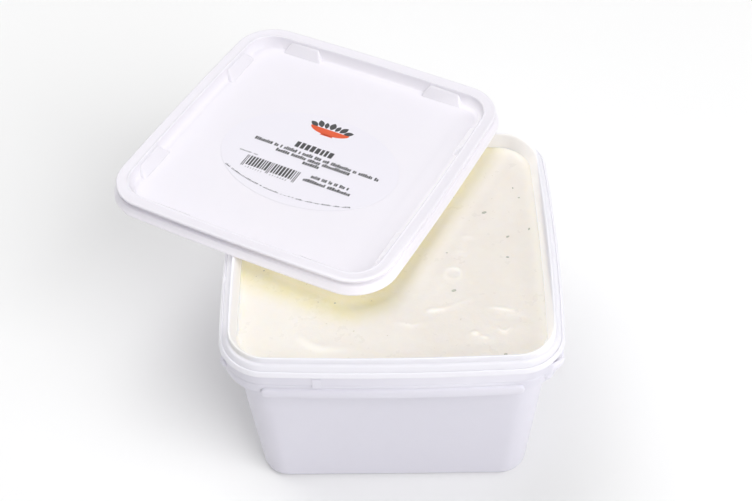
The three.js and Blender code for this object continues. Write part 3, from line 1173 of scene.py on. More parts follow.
        def daylight(x: np.ndarray, y: np.ndarray, z: np.ndarray) -> np.ndarray:
            """Painted glow standing for light through the inner wall, through the skirt and through
            the left flange.

            The wall takes most on the right and at the filling's edge. The left flange's shoulder
            takes less, and its locking groove next to none.
            """
            at_filling = 0.25 * bell(z, 0.9, 101.5) * (1 - ramp(y, 55, 72))
            wall = inner(x, y, z) * (0.8 * ramp(x, 64, 77) + at_filling)
            reach = square_reach(x, y, middle)
            skirt = ramp(reach, 81.3, 82.3) * (1 - ramp(z, 99.6, 100.4)) * ramp(x, -75, 60)
            above_band = 0.16 + 0.18 * ramp(z, 90.8, 92.4)
            left = 0.5 * ramp(-x, 76, 79) * ramp(z, 99.6, 101) * (1 - ramp(np.abs(y), 48, 64))
            shoulder = 1 - 0.7 * ramp(z, 105.2, 106.2)
            groove = 1 - 0.8 * bell(z, 0.15, 102.8)
            return wall + skirt * above_band + left * shoulder * groove

        # Painted shade on the body below the flange.
        paint(mesh, "painted_backed_shading", lambda x, y, z: 1 - ramp(z, 100.2, 100.9))
        # Painted warm bounce light from the filling on the inner wall.
        paint(mesh, "painted_cream_bounce", inner)
        paint(mesh, "painted_glow", daylight)

    def skirt_line(self, along: float, inset: float) -> float:
        """How far the skirt lies from the middle, at a distance along a side."""
        return side_bulge(self.rim_half - inset, self.rim_bow, along)

    def corner_middle(self) -> float:
        """How far the middle of a corner's arc lies from the tub's middle, along X and Y."""
        return self.rim_half - self.rim_bow - self.rim_corner

    def bar_start(self) -> Mesh:
        """The front grip bar: flat-faced, round-ended and sloping back along its upper edge."""
        length, bottom, height, depth = 62.5, self.skirt_bottom - 1.9, 5.4, 2.4
        radius, lower, upper = height / 2, 0.35, 1.1
        inset, tip_inset, tip_height, least_height = 0.1, 0.35, 0.8, 0.3
        stations = [-length + radius * (1 - math.cos(a * math.pi / 12)) for a in range(7)]
        stations += list(np.linspace(-length + radius, length - radius, 41))[1:]
        stations += [length - radius * (1 - math.sin(a * math.pi / 12)) for a in range(1, 7)]
        rings = []
        for x in stations:
            over = max(0.0, abs(x) - (length - radius))
            tall = max(least_height, math.sqrt(max(0.0, radius**2 - over**2)))
            face = -self.skirt_line(x, inset + (tip_inset if tall < tip_height else 0.0))
            low, high = bottom + radius - tall, bottom + radius + tall
            below, above = min(lower, 0.45 * tall), min(upper, 0.9 * tall)
            rings.append([
                (x, face + depth, low),
                (x, face + below, low),
                (x, face + 0.3 * below, low + 0.3 * below),
                (x, face, low + below),
                (x, face, high - 0.6 * above),
                (x, face + 0.15 * above, high - 0.2 * above),
                (x, face + 0.8 * above, high + 0.1 * above),
                (x, face + depth, high + 0.9 * above),
            ])
        return tube(rings, "grip_bar")

    def pull_tab(self) -> Mesh:
        """The tear band's free end: a round-ended strip that leaves the right front corner."""
        start, end, steps, thick, edge = -60.0, -27.5, 26, 1.2, 0.3
        top, bottom, round_from, round_length, pinch = 100.3, 90.5, 0.86, 0.14, 0.45
        middle = self.corner_middle()
        rings = []
        for step in range(steps + 1):
            share = step / steps
            turn = math.radians(start + (end - start) * share)
            cos, sin = math.cos(turn), math.sin(turn)
            outer = self.rim_corner - 0.9 + 3.6 * float(ramp(share, 0.0, 1.05))
            high = top - 0.9 * (1 - share)
            low = bottom + 5.5 * share
            into_end = max(0.0, (share - round_from) / round_length)
            round_off = 1 - math.sqrt(max(0.0, 1 - into_end**2))
            low += round_off * pinch * (high - low)
            high -= round_off * pinch * (top - low)
            section = (
                (outer - thick, low),
                (outer - edge, low),
                (outer, low + edge),
                (outer, high - edge),
                (outer - edge, high),
                (outer - thick + edge, high),
                (outer - thick, high - edge),
            )
            rings.append([(middle + r * cos, -middle + r * sin, z) for r, z in section])
        return tube(rings, "pull_tab")

    def corner_lump(self, angle: float, size: Place, outside: float, z: float) -> Placed:
        """A rounded lump on a corner's arc.

        Args:
            angle: Its place on the arc, in degrees from +X.
            size: Its half-sizes outwards, along the arc and upwards.
            outside: How far outside the rim its middle lies.
            z: Its middle's height.

        Returns:
            The lump and its place.
        """
        turn = math.radians(angle)
        middle, reach = self.corner_middle(), self.rim_corner + outside
        x = math.copysign(middle, math.cos(turn)) + reach * math.cos(turn)
        y = math.copysign(middle, math.sin(turn)) + reach * math.sin(turn)
        work = bmesh.new()
        bmesh.ops.create_uvsphere(work, u_segments=24, v_segments=14, radius=1.0)
        place = placed_at(x, y, z, turn) @ Matrix.Diagonal((*(c * MM for c in size), 1))
        return settle(work, "lump"), place

    def build_tear_tab(self, finish: Material) -> Object:
        """The tear band's pull end, its stops and one short bridge, and the lid's snap lug."""
        bridge_outline = [(-37.5, -83.38), (-33.5, -83.42), (-33.5, -81.9), (-37.5, -81.9)]
        lug_outline = [(-83.2, -18.0), (-81.6, -21.0), (-83.2, -25.0), (-83.8, -21.5)]
        parts = [
            (self.pull_tab(), Matrix.Identity(4)),
            self.corner_lump(-45, (1.8, 3.4, 2.8), -1.7, 90.4),
            self.corner_lump(-158, (1.6, 2.2, 3.2), 0.2, 96.2),
            (prism(bridge_outline, 93.0, 99.2), Matrix.Identity(4)),
            (prism(lug_outline, 101.2, 103.0, 0.4), Matrix.Identity(4)),
        ]
        piece = keep_piece(joined(parts, "tub_tear_tab"), "tub_tear_tab", finish)
        face_out(piece.data, sharp=math.radians(50))
        self.zone(piece.data)
        return piece

    def build_bars(self, copies: Recipe, finish: Material) -> Object:
        """Puts a grip bar on each side of the skirt."""
        piece = copies.bake(self.bar_start(), "tub_grip_bars", finish, Copies=SIDES)
        face_out(piece.data, weld=1e-6, sharp=math.radians(50))
        self.zone(piece.data)
        return piece


# ---------------------------------------------------------------- the lid


@dataclass(frozen=True)
class Lid:
    """The square lid: flared skirt, rolled rim, sunken panel and stacking lugs."""

    x: float = -42.7
    y: float = 61.8
    turn: float = math.radians(-27.3)
    rest: float = 109.2
    half: float = 80.5
    corner: float = 20.6
    bow: float = 1.4
    panel_half: float = 71.1
    panel_top: float = 1.4
    lug_offset: float = 44.0

    def place(self) -> Matrix:
        """The matrix that carries a shape from the lid's own place to where it lies, in metres."""
        return placed_at(self.x, self.y, self.rest, self.turn)

    def flat(self, z: float) -> list[Level]:
        """The panel's flat middle at a height, from the centre outwards."""
        return [Level(half, z, max(0.0, half - 59.5), 0.0, 0.0) for half in (0, 20, 40, 60)]

    def level(self, inset: float, z: float, soft: float = 0.25) -> Level:
        """A level of the lid, given by how far it lies inside the rim's outer edge."""
        return Level(self.half - inset, z, self.corner - inset, self.bow, soft)

    def underside(self) -> list[Level]:
        """Panel, wall, hollow of the rim and inside of the skirt, from the middle outwards."""
        inset = self.half - self.panel_half
        return [
            *self.flat(0.1),
            self.level(inset - 0.5, 0.1, 0.6),
            self.level(inset - 0.9, 0.6, 0.5),
            self.level(6.0, 6.4, 0.5),
            self.level(5.2, 6.9, 0.3),
            self.level(3.5, 7.1, 0.3),
            self.level(3.1, 6.6, 0.3),
            self.level(3.2, 5.2, 0.4),
            self.level(2.8, 3.6, 0.4),
            self.level(0.9, 2.7, 0.4),
            self.level(-0.6, 1.0, 0.4),
            self.level(-0.75, 0, 0.15),
        ]

    def outside(self) -> list[Level]:
        """Skirt, groove, rolled rim, fine inner bead, wall and panel, from the edge inwards."""
        inset = self.half - self.panel_half
        return [
            self.level(-1.65, 0, 0.15),
            self.level(-1.75, 0.3, 0.15),
            self.level(-1.7, 1.1, 0.2),
            self.level(-1.3, 1.5, 0.3),
            self.level(0.1, 3.7, 0.25),
            self.level(0.5, 3.95, 0.15),
            self.level(1.9, 4.1, 0.3),
            self.level(2.3, 5.0, 0.4),
            self.level(2.1, 6.2, 0.4),
            self.level(0.6, 6.9, 0.3),
            self.level(0.05, 7.2, 0.2),
            self.level(0, 7.9, 0.3),
            self.level(0.5, 8.4, 0.4),
            self.level(1.2, 8.5, 0.5),
            self.level(2.2, 8.3, 0.5),
            self.level(5.2, 8.0, 0.4),
            self.level(5.6, 8.05, 0.2),
            self.level(6.0, 8.25, 0.25),
            self.level(6.4, 8.2, 0.25),
            self.level(6.8, 7.7, 0.4),
            self.level(inset - 0.6, self.panel_top + 0.2, 1.8),
            self.level(inset + 1.8, self.panel_top, 0.8),
            *reversed(self.flat(self.panel_top)),
        ]

    def build_shell(self, loft: Recipe, finish: Material) -> Object:
        """Lofts the lid's shell and lays it on the rim."""
        levels = softened([*self.underside(), *self.outside()])
        piece = loft.bake(profile_mesh(levels), "lid_shell", finish, Side_Steps=14, Corner_Steps=18)
        face_out(piece.data)
        paint(piece.data, "painted_glow", self.daylight)
        # Painted lighter tone on the panel inside the rim.
        paint(piece.data, "painted_backed_shading", lambda x, y, z: 1 - ramp(self.reach(x, y), 68.5, 71.5))
        piece.data.transform(self.place())
        return piece

    def reach(self, x: np.ndarray, y: np.ndarray) -> np.ndarray:
        """Half-width of the lid's outline through each point, in the lid's own place."""
        return square_reach(x, y, self.half - self.corner)

    def daylight(self, x: np.ndarray, y: np.ndarray, z: np.ndarray) -> np.ndarray:
        """How strong the painted glow is that stands for daylight through the thin sheet: most on
        its underside.
        """
        reach = self.reach(x, y)
        lower_wall = np.minimum(7.2, 1.2 + (reach - 72.0) * 2.7)
        below = (reach < 75.7) & (z < np.where(reach < 71.8, 0.3, lower_wall))
        # Painted light that fills the shade along the right wall and on the panel beside it.
        right_wall = 0.8 * ramp(x, 50.0, 66.0) * ramp(reach, 66.5, 71.0)
        wall = (0.3 * ramp(reach, 70.0, 71.5) + right_wall) * (1 - ramp(z, 4.5, 7.4))
        wall = wall * (1 - ramp(reach, 74.4, 75.4))
        front = 0.17 + 0.36 * ramp(x, -60.0, 30.0) * (1 - 0.8 * ramp(y, -66.0, -36.0))
        flare = ramp(reach, 79.6, 81.0) * (1 - ramp(z, 3.5, 5.0))
        groove = 0.3 * ramp(x, -20.0, 40.0) * ramp(reach, 77.4, 78.6) * (1 - ramp(z, 6.0, 7.2))
        corner = 0.25 * ramp(x, 20.0, 60.0) * ramp(-y, 20.0, 60.0) * ramp(reach, 76.5, 78.0)
        return np.where(below, 1.0, wall + front * flare + (groove + corner) * (1 - flare))

    def lug_pair(self) -> Mesh:
        """The two stacking lugs against the wall that faces +Y."""
        half_base, half_top, inner, crest, top = 12.2, 8.6, 67.6, 72.3, 6.5
        low, back, ledge, tilt = self.panel_top - 0.4, self.panel_half + 0.2, 73.8, 0.5
        rounded_above, edge_radius = 4.0, 0.7
        work = bmesh.new()
        for offset in (-self.lug_offset, self.lug_offset):
            corners = []
            for half, near, far, z, rise in (
                (half_base, inner, back, low, 0.0),
                (half_top, crest, ledge, top, tilt),
            ):
                rear = z + rise
                spots = (-half, near, z), (half, near, z), (half, far, rear), (-half, far, rear)
                corners += [work.verts.new(Vector((x + offset, y, z)) * MM) for x, y, z in spots]
            for face in [(3, 2, 1, 0), (4, 5, 6, 7), *ring_faces(0, SIDES)]:
                work.faces.new([corners[i] for i in face])
        edges = [e for e in work.edges if max(v.co.z for v in e.verts) > rounded_above * MM]
        bmesh.ops.bevel(
            work,
            geom=edges,
            offset=edge_radius * MM,
            offset_type="OFFSET",
            segments=3,
            profile=0.5,
            affect="EDGES",
        )
        return settle(work, "lug_pair")

    def build_lugs(self, copies: Recipe, finish: Material) -> Object:
        """Puts two lugs on each side of the sunken panel."""
        piece = copies.bake(self.lug_pair(), "lid_stacking_lugs", finish, Copies=SIDES)
        face_out(piece.data, sharp=math.radians(40))
        # Painted glow that lightens the shaded lugs on the right.
        paint(piece.data, "painted_glow", lambda x, y, z: 0.7 * ramp(x, 50.0, 66.0))
        piece.data.transform(self.place())
        return piece


# ---------------------------------------------------------------- the label


@dataclass(frozen=True)
class PrintedRow:
    """One row of greeked print on the label: its left end and length in the lid's own mm."""

    x: float
    y: float
    length: float
    marks: int
    low: float
    high: float
    slope: float = 0.0
    thin: float = 0.35
    thick: float = 0.7
    gap: float = 0.4
    word_gap: float = 1.3
    word_share: float = 0.16
    bend: float = 100.0

    def build(self, rows: Recipe, finish: Material, seed: int) -> Mesh:
        """Makes the row's marks, starting at the origin.

        Args:
            rows: The row recipe.
            finish: The ink.
            seed: Fixed seed for this row.

        Returns:
            The marks.
        """
        mark = prism([(-500, 0), (500, 0), (500, 1000), (-500, 1000)], 0, 1000)
        return rows.run(
            mark,
            finish,
            Marks=self.marks,
            Length=self.length * MM,
            Thin=self.thin,
            Thick=self.thick,
            Gap=self.gap,
            Word_Gap=self.word_gap,
            Word_Share=self.word_share,
            Low=self.low * MM,
            High=self.high * MM,
            Depth=0.04 * MM,
            Bend=self.bend,
            Seed=seed,
        )


@dataclass(frozen=True)
class Label:
    """The oval film on the lid's panel with its greeked print and a herb bowl motif."""

    x: float = 2.0
    y: float = -5.0
    half_length: float = 50.5
    half_width: float = 35.0
    bottom: float = 1.41
    top: float = 1.5
    sunk: float = 0.01
    ink: float = 0.03
    rows: tuple[PrintedRow, ...] = (
        PrintedRow(-10.6, 1.0, 23.4, 8, 4.2, 4.7, -0.012, 1.3, 2.5, 0.75, 0.0, 0.0),
        PrintedRow(-33.0, -2.9, 75.6, 52, 1.7, 2.6, -0.016, 0.7, 1.2, 0.25, 1.2, 0.15),
        PrintedRow(-18.0, -6.3, 44.8, 32, 1.7, 2.6, -0.01, 0.7, 1.2, 0.25, 1.2, 0.1),
        PrintedRow(0.0, -9.4, 9.9, 7, 1.7, 2.6, 0.0, 0.7, 1.2, 0.25, 1.2, 0.2),
        PrintedRow(9.4, -16.8, 22.4, 16, 1.6, 2.5, 0.0, 0.7, 1.2, 0.25, 1.2, 0.15),
        PrintedRow(6.6, -20.4, 27.8, 20, 1.6, 2.5, 0.0, 0.7, 1.2, 0.25, 1.2, 0.15),
        PrintedRow(-35.5, -13.9, 11.1, 12, 0.6, 1.0, 0.0, 0.25, 0.5),
        PrintedRow(-27.0, -22.5, 12.9, 8, 7.1, 7.2, 0.0, 0.5, 1.7, 0.65, 0.0, 0.0),
        PrintedRow(-12.0, -22.5, 13.4, 8, 7.1, 7.2, 0.0, 0.5, 1.7, 0.65, 0.0, 0.0),
        PrintedRow(-29.2, -24.0, 1.9, 2, 8.6, 8.7, 0.0, 0.55, 0.6, 0.6, 0.0, 0.0),
        PrintedRow(-14.1, -24.0, 1.9, 2, 8.6, 8.7, 0.0, 0.55, 0.6, 0.6, 0.0, 0.0),
        PrintedRow(1.6, -24.0, 1.9, 2, 8.6, 8.7, 0.0, 0.55, 0.6, 0.6, 0.0, 0.0),
        PrintedRow(-26.0, -24.6, 11.0, 7, 0.9, 1.3, 0.0, 0.2, 0.4, 1.3, 0.0, 0.0),
        PrintedRow(-11.0, -24.6, 11.0, 7, 0.9, 1.3, 0.0, 0.2, 0.4, 1.3, 0.0, 0.0),
        PrintedRow(-37.6, -34.6, 79.0, 60, 0.5, 1.1, 0.0, 0.3, 0.7, 0.4, 1.2, 0.3, 0.102),
    )

    def build_film(self, lid: Lid, finish: Material) -> Object:
        """Lays the oval film on the panel."""
        outline = oval(self.x, self.y, self.half_length, self.half_width, 160)
        mesh = prism(outline, self.bottom, self.top, 0.06)
        mesh.transform(lid.place())
        piece = keep_piece(mesh, "label_film", finish)
        face_out(mesh, sharp=math.radians(20))
        return piece

    def build_rows(self, lid: Lid, rows: Recipe, finish: Material) -> list[Placed]:
        """Makes all rows with their places on the lid."""
        parts = []
        for seed, row in enumerate(self.rows, start=3):
            place = placed_at(row.x, row.y, self.top - self.sunk, row.slope)
            parts.append((row.build(rows, finish, seed), lid.place() @ place))
        return parts

    def inked(self, lid: Lid, shapes: Iterable[Sequence[Spot]]) -> list[Placed]:
        """Flat printed shapes with their place on the lid."""
        low, high = self.top - self.sunk, self.top + self.ink
        return [(prism(shape, low, high), lid.place()) for shape in shapes]

    def leaf(self, x: float, y: float, heading: float, length: float, width: float) -> list[Spot]:
        """Outline of a pointed leaf that grows from a point at a heading in degrees."""
        shares = np.linspace(0, 1, 13)
        side = [(length * t, width / 2 * math.sin(math.pi * t) ** 0.8) for t in shares]
        outline = [(u, -v) for u, v in side] + [(u, v) for u, v in reversed(side[1:-1])]
        cos, sin = math.cos(math.radians(heading)), math.sin(math.radians(heading))
        return [(x + u * cos - v * sin, y + u * sin + v * cos) for u, v in outline]

    def herb_leaves(self, lid: Lid) -> list[Placed]:
        """Leaves that fan out above the bowl."""
        fan = (
            (-7.0, 20.9, 156, 5.6, 3.0),
            (-4.4, 20.9, 124, 5.8, 3.3),
            (0.9, 20.9, 90, 5.6, 3.7),
            (6.2, 20.9, 56, 5.8, 3.3),
            (8.8, 20.9, 24, 5.6, 3.0),
            (-1.8, 20.8, 108, 4.8, 2.6),
            (3.6, 20.8, 72, 4.8, 2.6),
        )
        return self.inked(lid, [self.leaf(*leaf) for leaf in fan])

    def bowl(self, lid: Lid) -> list[Placed]:
        """A round bowl, flat at the top, on a short foot."""
        x, y, half_x, half_y = 0.9, 20.6, 11.7, 4.6
        angles = np.linspace(math.pi, 2 * math.pi, 25)
        half = [(x + half_x * math.cos(a), y + half_y * math.sin(a)) for a in angles]
        foot = [(-3.0, 15.3), (4.8, 15.3), (4.2, 16.4), (-2.4, 16.4)]
        return self.inked(lid, (half, foot))

    def build_print(self, lid: Lid, rows: Recipe, dark: Material, warm: Material) -> list[Object]:
        """Builds the two colours of print.

        Args:
            lid: The lid that the label lies on.
            rows: The row recipe.
            dark: Charcoal ink.
            warm: Orange-red ink.

        Returns:
            The dark piece and the warm one.
        """
        plans = (
            ("label_print_dark", dark, self.build_rows(lid, rows, dark) + self.herb_leaves(lid)),
            ("label_print_warm", warm, self.bowl(lid)),
        )
        pieces = [keep_piece(joined(parts, name), name, ink) for name, ink, parts in plans]
        for piece in pieces:
            face_out(piece.data, sharp=math.radians(30))
        return pieces


# ---------------------------------------------------------------- the dip


@dataclass(frozen=True)
class Swell:
    """A soft hump or hollow in the dip's surface, in mm and degrees."""

    x: float
    y: float
    heading: float
    long: float
    wide: float
    rise: float

    def height(self, x: np.ndarray, y: np.ndarray) -> np.ndarray:
        """Its height over points of the surface."""
        turn = math.radians(self.heading)
        dx, dy = x - self.x, y - self.y
        along = (dx * math.cos(turn) + dy * math.sin(turn)) / self.long
        across = (-dx * math.sin(turn) + dy * math.cos(turn)) / self.wide
        return self.rise * np.exp(-(along**2) - across**2)


@dataclass(frozen=True)
class Fold:
    """A soft ridge that a spatula left, along a bent line, in mm."""

    line: tuple[Spot, ...]
    wide: float
    rise: float

    def height(self, x: np.ndarray, y: np.ndarray) -> np.ndarray:
        """Its height over points of the surface, less towards both ends of the line."""
        best = np.full(np.shape(x), 1e9)
        share = np.zeros(np.shape(x))
        for number, ((ax, ay), (bx, by)) in enumerate(zip(self.line, self.line[1:])):
            run = (bx - ax) ** 2 + (by - ay) ** 2
            at = np.clip(((x - ax) * (bx - ax) + (y - ay) * (by - ay)) / run, 0, 1)
            away = np.hypot(x - ax - at * (bx - ax), y - ay - at * (by - ay))
            share = np.where(away < best, (number + at) / (len(self.line) - 1), share)
            best = np.minimum(best, away)
        return self.rise * bell(best, self.wide) * np.sin(math.pi * (0.12 + 0.76 * share))


@dataclass(frozen=True)
class Bubble:
    """A burst bubble: a low round lip with a shallow dish inside it, in mm."""

    x: float
    y: float
    radius: float
    wide: float
    rise: float

    def height(self, x: np.ndarray, y: np.ndarray) -> np.ndarray:
        """Its height over points of the surface."""
        away = np.hypot(x - self.x, y - self.y)
        lip = self.rise * bell(away, self.wide, self.radius)
        return lip - 0.6 * self.rise * bell(away, 0.75 * self.radius)


RELIEF = (
    Swell(24.5, -27.3, 60, 5.0, 3.0, 0.22),
    Swell(38.6, 6.9, 0, 4.0, 1.8, 0.3),
    Swell(34.7, -3.6, 0, 4.5, 2.0, 0.25),
    Swell(39.9, -57.2, 0, 2.0, 1.7, 0.6),
    Swell(44.3, -60.0, -20, 2.6, 1.3, 0.42),
    Swell(21.2, -42.4, 0, 4.6, 1.7, 0.35),
    Swell(58.5, -48.0, -10, 8.0, 3.2, -0.6),
    Swell(43.0, -64.0, 0, 6.0, 2.2, -0.3),
    Swell(-60.0, -30.0, 80, 12.0, 5.0, 0.15),
    Swell(-12.0, -40.0, 10, 12.0, 4.0, 0.12),
    Fold(
        ((13.8, -47.4), (18.7, -42.8), (24.5, -41.8), (30.9, -39.3), (38.4, -35.5), (44.0, -33.5)),
        1.5,
        0.26,
    ),
    Fold(((2.0, -50.5), (6.0, -51.2), (9.8, -52.5), (16.1, -50.0)), 1.6, 0.36),
    Fold(((47.0, -41.2), (52.0, -42.0), (57.0, -43.2), (61.0, -43.9)), 1.3, 0.55),
    Fold(((50.5, -53.8), (52.5, -56.2), (54.5, -56.8), (57.6, -54.0)), 1.0, 0.5),
    Fold(
        (
            (-46.0, -57.0),
            (-43.8, -59.8),
            (-39.8, -64.0),
            (-34.0, -66.6),
            (-26.9, -66.9),
            (-16.0, -66.8),
        ),
        3.0,
        0.38,
    ),
    Fold(((-46.5, -44.0), (-45.2, -48.5), (-46.2, -53.5)), 1.3, 0.22),
    Swell(31.5, -15.6, 0, 2.8, 1.2, 0.25),
    Bubble(30.7, -18.7, 3.6, 2.0, 0.28),
    Bubble(44.6, -72.0, 1.6, 0.7, 0.3),
)


@dataclass(frozen=True)
class Dip:
    """The dip up to its level, with its swells, bubbles and herb flecks."""

    fill: float = 101.0
    gap: float = 0.1
    shade_left: float = 4.5
    shade_front: float = 2.2
    tub: Tub = field(default_factory=Tub)
    lid: Lid = field(default_factory=Lid)

    def edge(self) -> Level:
        """The surface's outer edge, which sinks a little into the tub's wall."""
        return self.tub.inner(3.2, self.fill, 1.5)

    def levels(self) -> list[Level]:
        """The sides from the middle of the floor up, and the surface from the wall inwards."""
        tub, gap = self.tub, self.gap
        fine_step, fine_width, step = 0.3, 3, 0.62
        floor = tub.wall + 0.2 + gap
        edge = self.edge()
        sides = [
            Level(0, floor),
            *tub.bottom_edge(floor, tub.wall + gap, tub.base_round - 1.1, 4),
            tub.body(45, tub.wall + gap),
            tub.body(tub.skirt_bottom, tub.wall + gap),
            tub.inner(3.9 + gap, 99.0, 1.2),
        ]
        surface = []
        inset = 0.0
        while inset < edge.half - 0.4:
            share = 1 - inset / edge.half
            half, corner, bow = edge.half - inset, edge.corner * share, edge.bow * share
            surface.append(Level(half, edge.z, corner, bow, 0.0))
            inset += fine_step if inset < fine_width else step
        return [*sides, *surface, Level(0, self.fill)]

    def surface_height(self, x: np.ndarray, y: np.ndarray, to_wall: np.ndarray) -> np.ndarray:
        """Height of the surface in mm.

        Args:
            x: Places along X.
            y: Places along Y.
            to_wall: Distances to the tub's wall.

        Returns:
            The heights.
        """
        slow = 0.25 * np.sin(x / 17 + 0.6 * np.sin(y / 23)) * np.cos(y / 21 - 0.4)
        waves = slow + 0.12 * np.sin(x / 7.5 + y / 9.5)
        marks = np.minimum(1, to_wall / 4) * self.relief(x, y)
        meniscus = 0.5 * np.exp(-to_wall / 1.1)
        return self.fill + np.minimum(1, to_wall / 8) * waves + marks + meniscus

    def relief(self, x: np.ndarray, y: np.ndarray) -> np.ndarray:
        """Height of the spatula marks and bubbles alone, in mm."""
        return sum(form.height(x, y) for form in RELIEF)

    def wall_distance(self, x: np.ndarray, y: np.ndarray) -> np.ndarray:
        """Distance to the wall in mm, along the rings of the loft."""
        edge = self.edge()
        flat, corner = edge.half - edge.bow, edge.corner
        ax, ay = np.abs(x), np.abs(y)
        bulge_x = edge.bow * (1 - np.minimum(1, ay / flat) ** 2)
        bulge_y = edge.bow * (1 - np.minimum(1, ax / flat) ** 2)
        dx, dy = ax - (flat - corner), ay - (flat - corner)
        round_off = np.hypot(np.maximum(dx, 0), np.maximum(dy, 0))
        side = np.minimum(flat + bulge_x - ax, flat + bulge_y - ay)
        in_corner = (dx > 0) & (dy > 0)
        return np.maximum(0.0, np.where(in_corner, np.minimum(corner - round_off, side), side))

    def beyond_lid(self, x: np.ndarray, y: np.ndarray) -> np.ndarray:
        """How far places lie outside the lid's edge, in mm; negative below the lid."""
        lid = self.lid
        dx, dy = x - lid.x, y - lid.y
        u = dx * math.cos(lid.turn) + dy * math.sin(lid.turn)
        v = -dx * math.sin(lid.turn) + dy * math.cos(lid.turn)
        return lid.reach(u, v) - lid.half

    def beyond_shade(self, x: np.ndarray, y: np.ndarray) -> np.ndarray:
        """How far places lie outside the lid's shade, which falls to its left and front."""
        return self.beyond_lid(x + self.shade_left, y + self.shade_front)

    def build_body(self, loft: Recipe, finish: Material) -> Object:
        """Lofts the dip and raises its surface."""
        profile = profile_mesh(self.levels())
        piece = loft.bake(profile, "dip_body", finish, Side_Steps=96, Corner_Steps=24)
        face_out(piece.data)
        points = points_of(piece.data)
        x, y, z = points.T
        to_wall = self.wall_distance(x, y)
        top = z > self.fill - 0.5
        # Painted light along the wall: paler near it on the surface, and everywhere on the sides
        # below.
        store(piece.data, "painted_wall_light", np.where(top, bell(to_wall, 4.0), 1.0))
        points[:, 2] = np.where(top, self.surface_height(x, y, to_wall), z)
        move_points(piece.data, points)
        self.zone(piece.data, to_wall, top)
        return piece

    def zone(self, mesh: Mesh, to_wall: np.ndarray, top: np.ndarray) -> None:
        """Marks the lid's painted shade, the painted highlight on the crests and the painted glow
        that stands for daylight coming into the dip.

        Args:
            mesh: The dip's mesh.
            to_wall: Each point's distance to the wall, in mm.
            top: Which points lie in the surface.
        """

        def shade(x: np.ndarray, y: np.ndarray, z: np.ndarray) -> np.ndarray:
            """The lid's shade with its soft edge."""
            return 1 - ramp(self.beyond_shade(x, y), -3, 14)

        def daylight(x: np.ndarray, y: np.ndarray, z: np.ndarray) -> np.ndarray:
            """Painted glow standing for light through the lid's left part, past its right edge and
            through the wall.
            """
            away, right = self.beyond_shade(x, y), ramp(x, 0, 20)
            along = 0.12 + 0.52 * ramp(-x, 5, 15) + 0.44 * ramp(-x, 15, 30)
            along = along - 0.36 * ramp(-x, 48, 64)
            deep = 1.08 - 0.72 * ramp(-away, 11, 20)
            through = np.minimum(along * (1 - ramp(away, -9, 1)), deep)
            outer = 0.36 * ramp(away, 3.5, 9) * (1 - ramp(away, 11, 18)) * right
            inner = 0.32 * ramp(away, -14, -6) * (1 - ramp(away, 4, 10)) * ramp(y, 5, 45) * right
            side = np.where(top, 0.42 * ramp(x, 40, 66) * bell(to_wall, 4.6), 0.0)
            # Painted light along the wall's foot, in place of its contact shade.
            shine = np.where(top, 0.36 * bell(to_wall, 1.3), 0.0)
            return np.maximum.reduce([through, outer + inner, side, shine])

        def crest(x: np.ndarray, y: np.ndarray, z: np.ndarray) -> np.ndarray:
            """A painted highlight on the ridges, and a painted sheen on the left part."""
            return np.minimum(1, ramp(self.relief(x, y), 0.1, 0.5) + 0.4 * ramp(-x, -15, 55))

        paint(mesh, "lid_shade", shade)
        paint(mesh, "painted_glow", daylight)
        paint(mesh, "crest", crest)


@dataclass(frozen=True)
class HerbFleck:
    """A herb flake in the surface: place in mm, heading in degrees and half-length in mm."""

    x: float
    y: float
    heading: float
    long: float


HERB_FLECKS = (
    HerbFleck(48.1, 24.6, 25, 1.6),
    HerbFleck(30.8, -29.6, 20, 1.5),
    HerbFleck(70.6, 12.5, 70, 1.0),
    HerbFleck(58.4, -7.4, 0, 1.0),
    HerbFleck(53.8, -70.6, 10, 1.1),
    HerbFleck(59.3, 7.0, 40, 1.2),
    HerbFleck(64.1, 42.7, 90, 0.9),
    HerbFleck(66.9, 35.4, 0, 0.8),
    HerbFleck(-27.6, -36.8, 15, 0.7),
    HerbFleck(28.1, -4.0, 0, 0.7),
    HerbFleck(-63.7, -14.7, 20, 0.5),
)


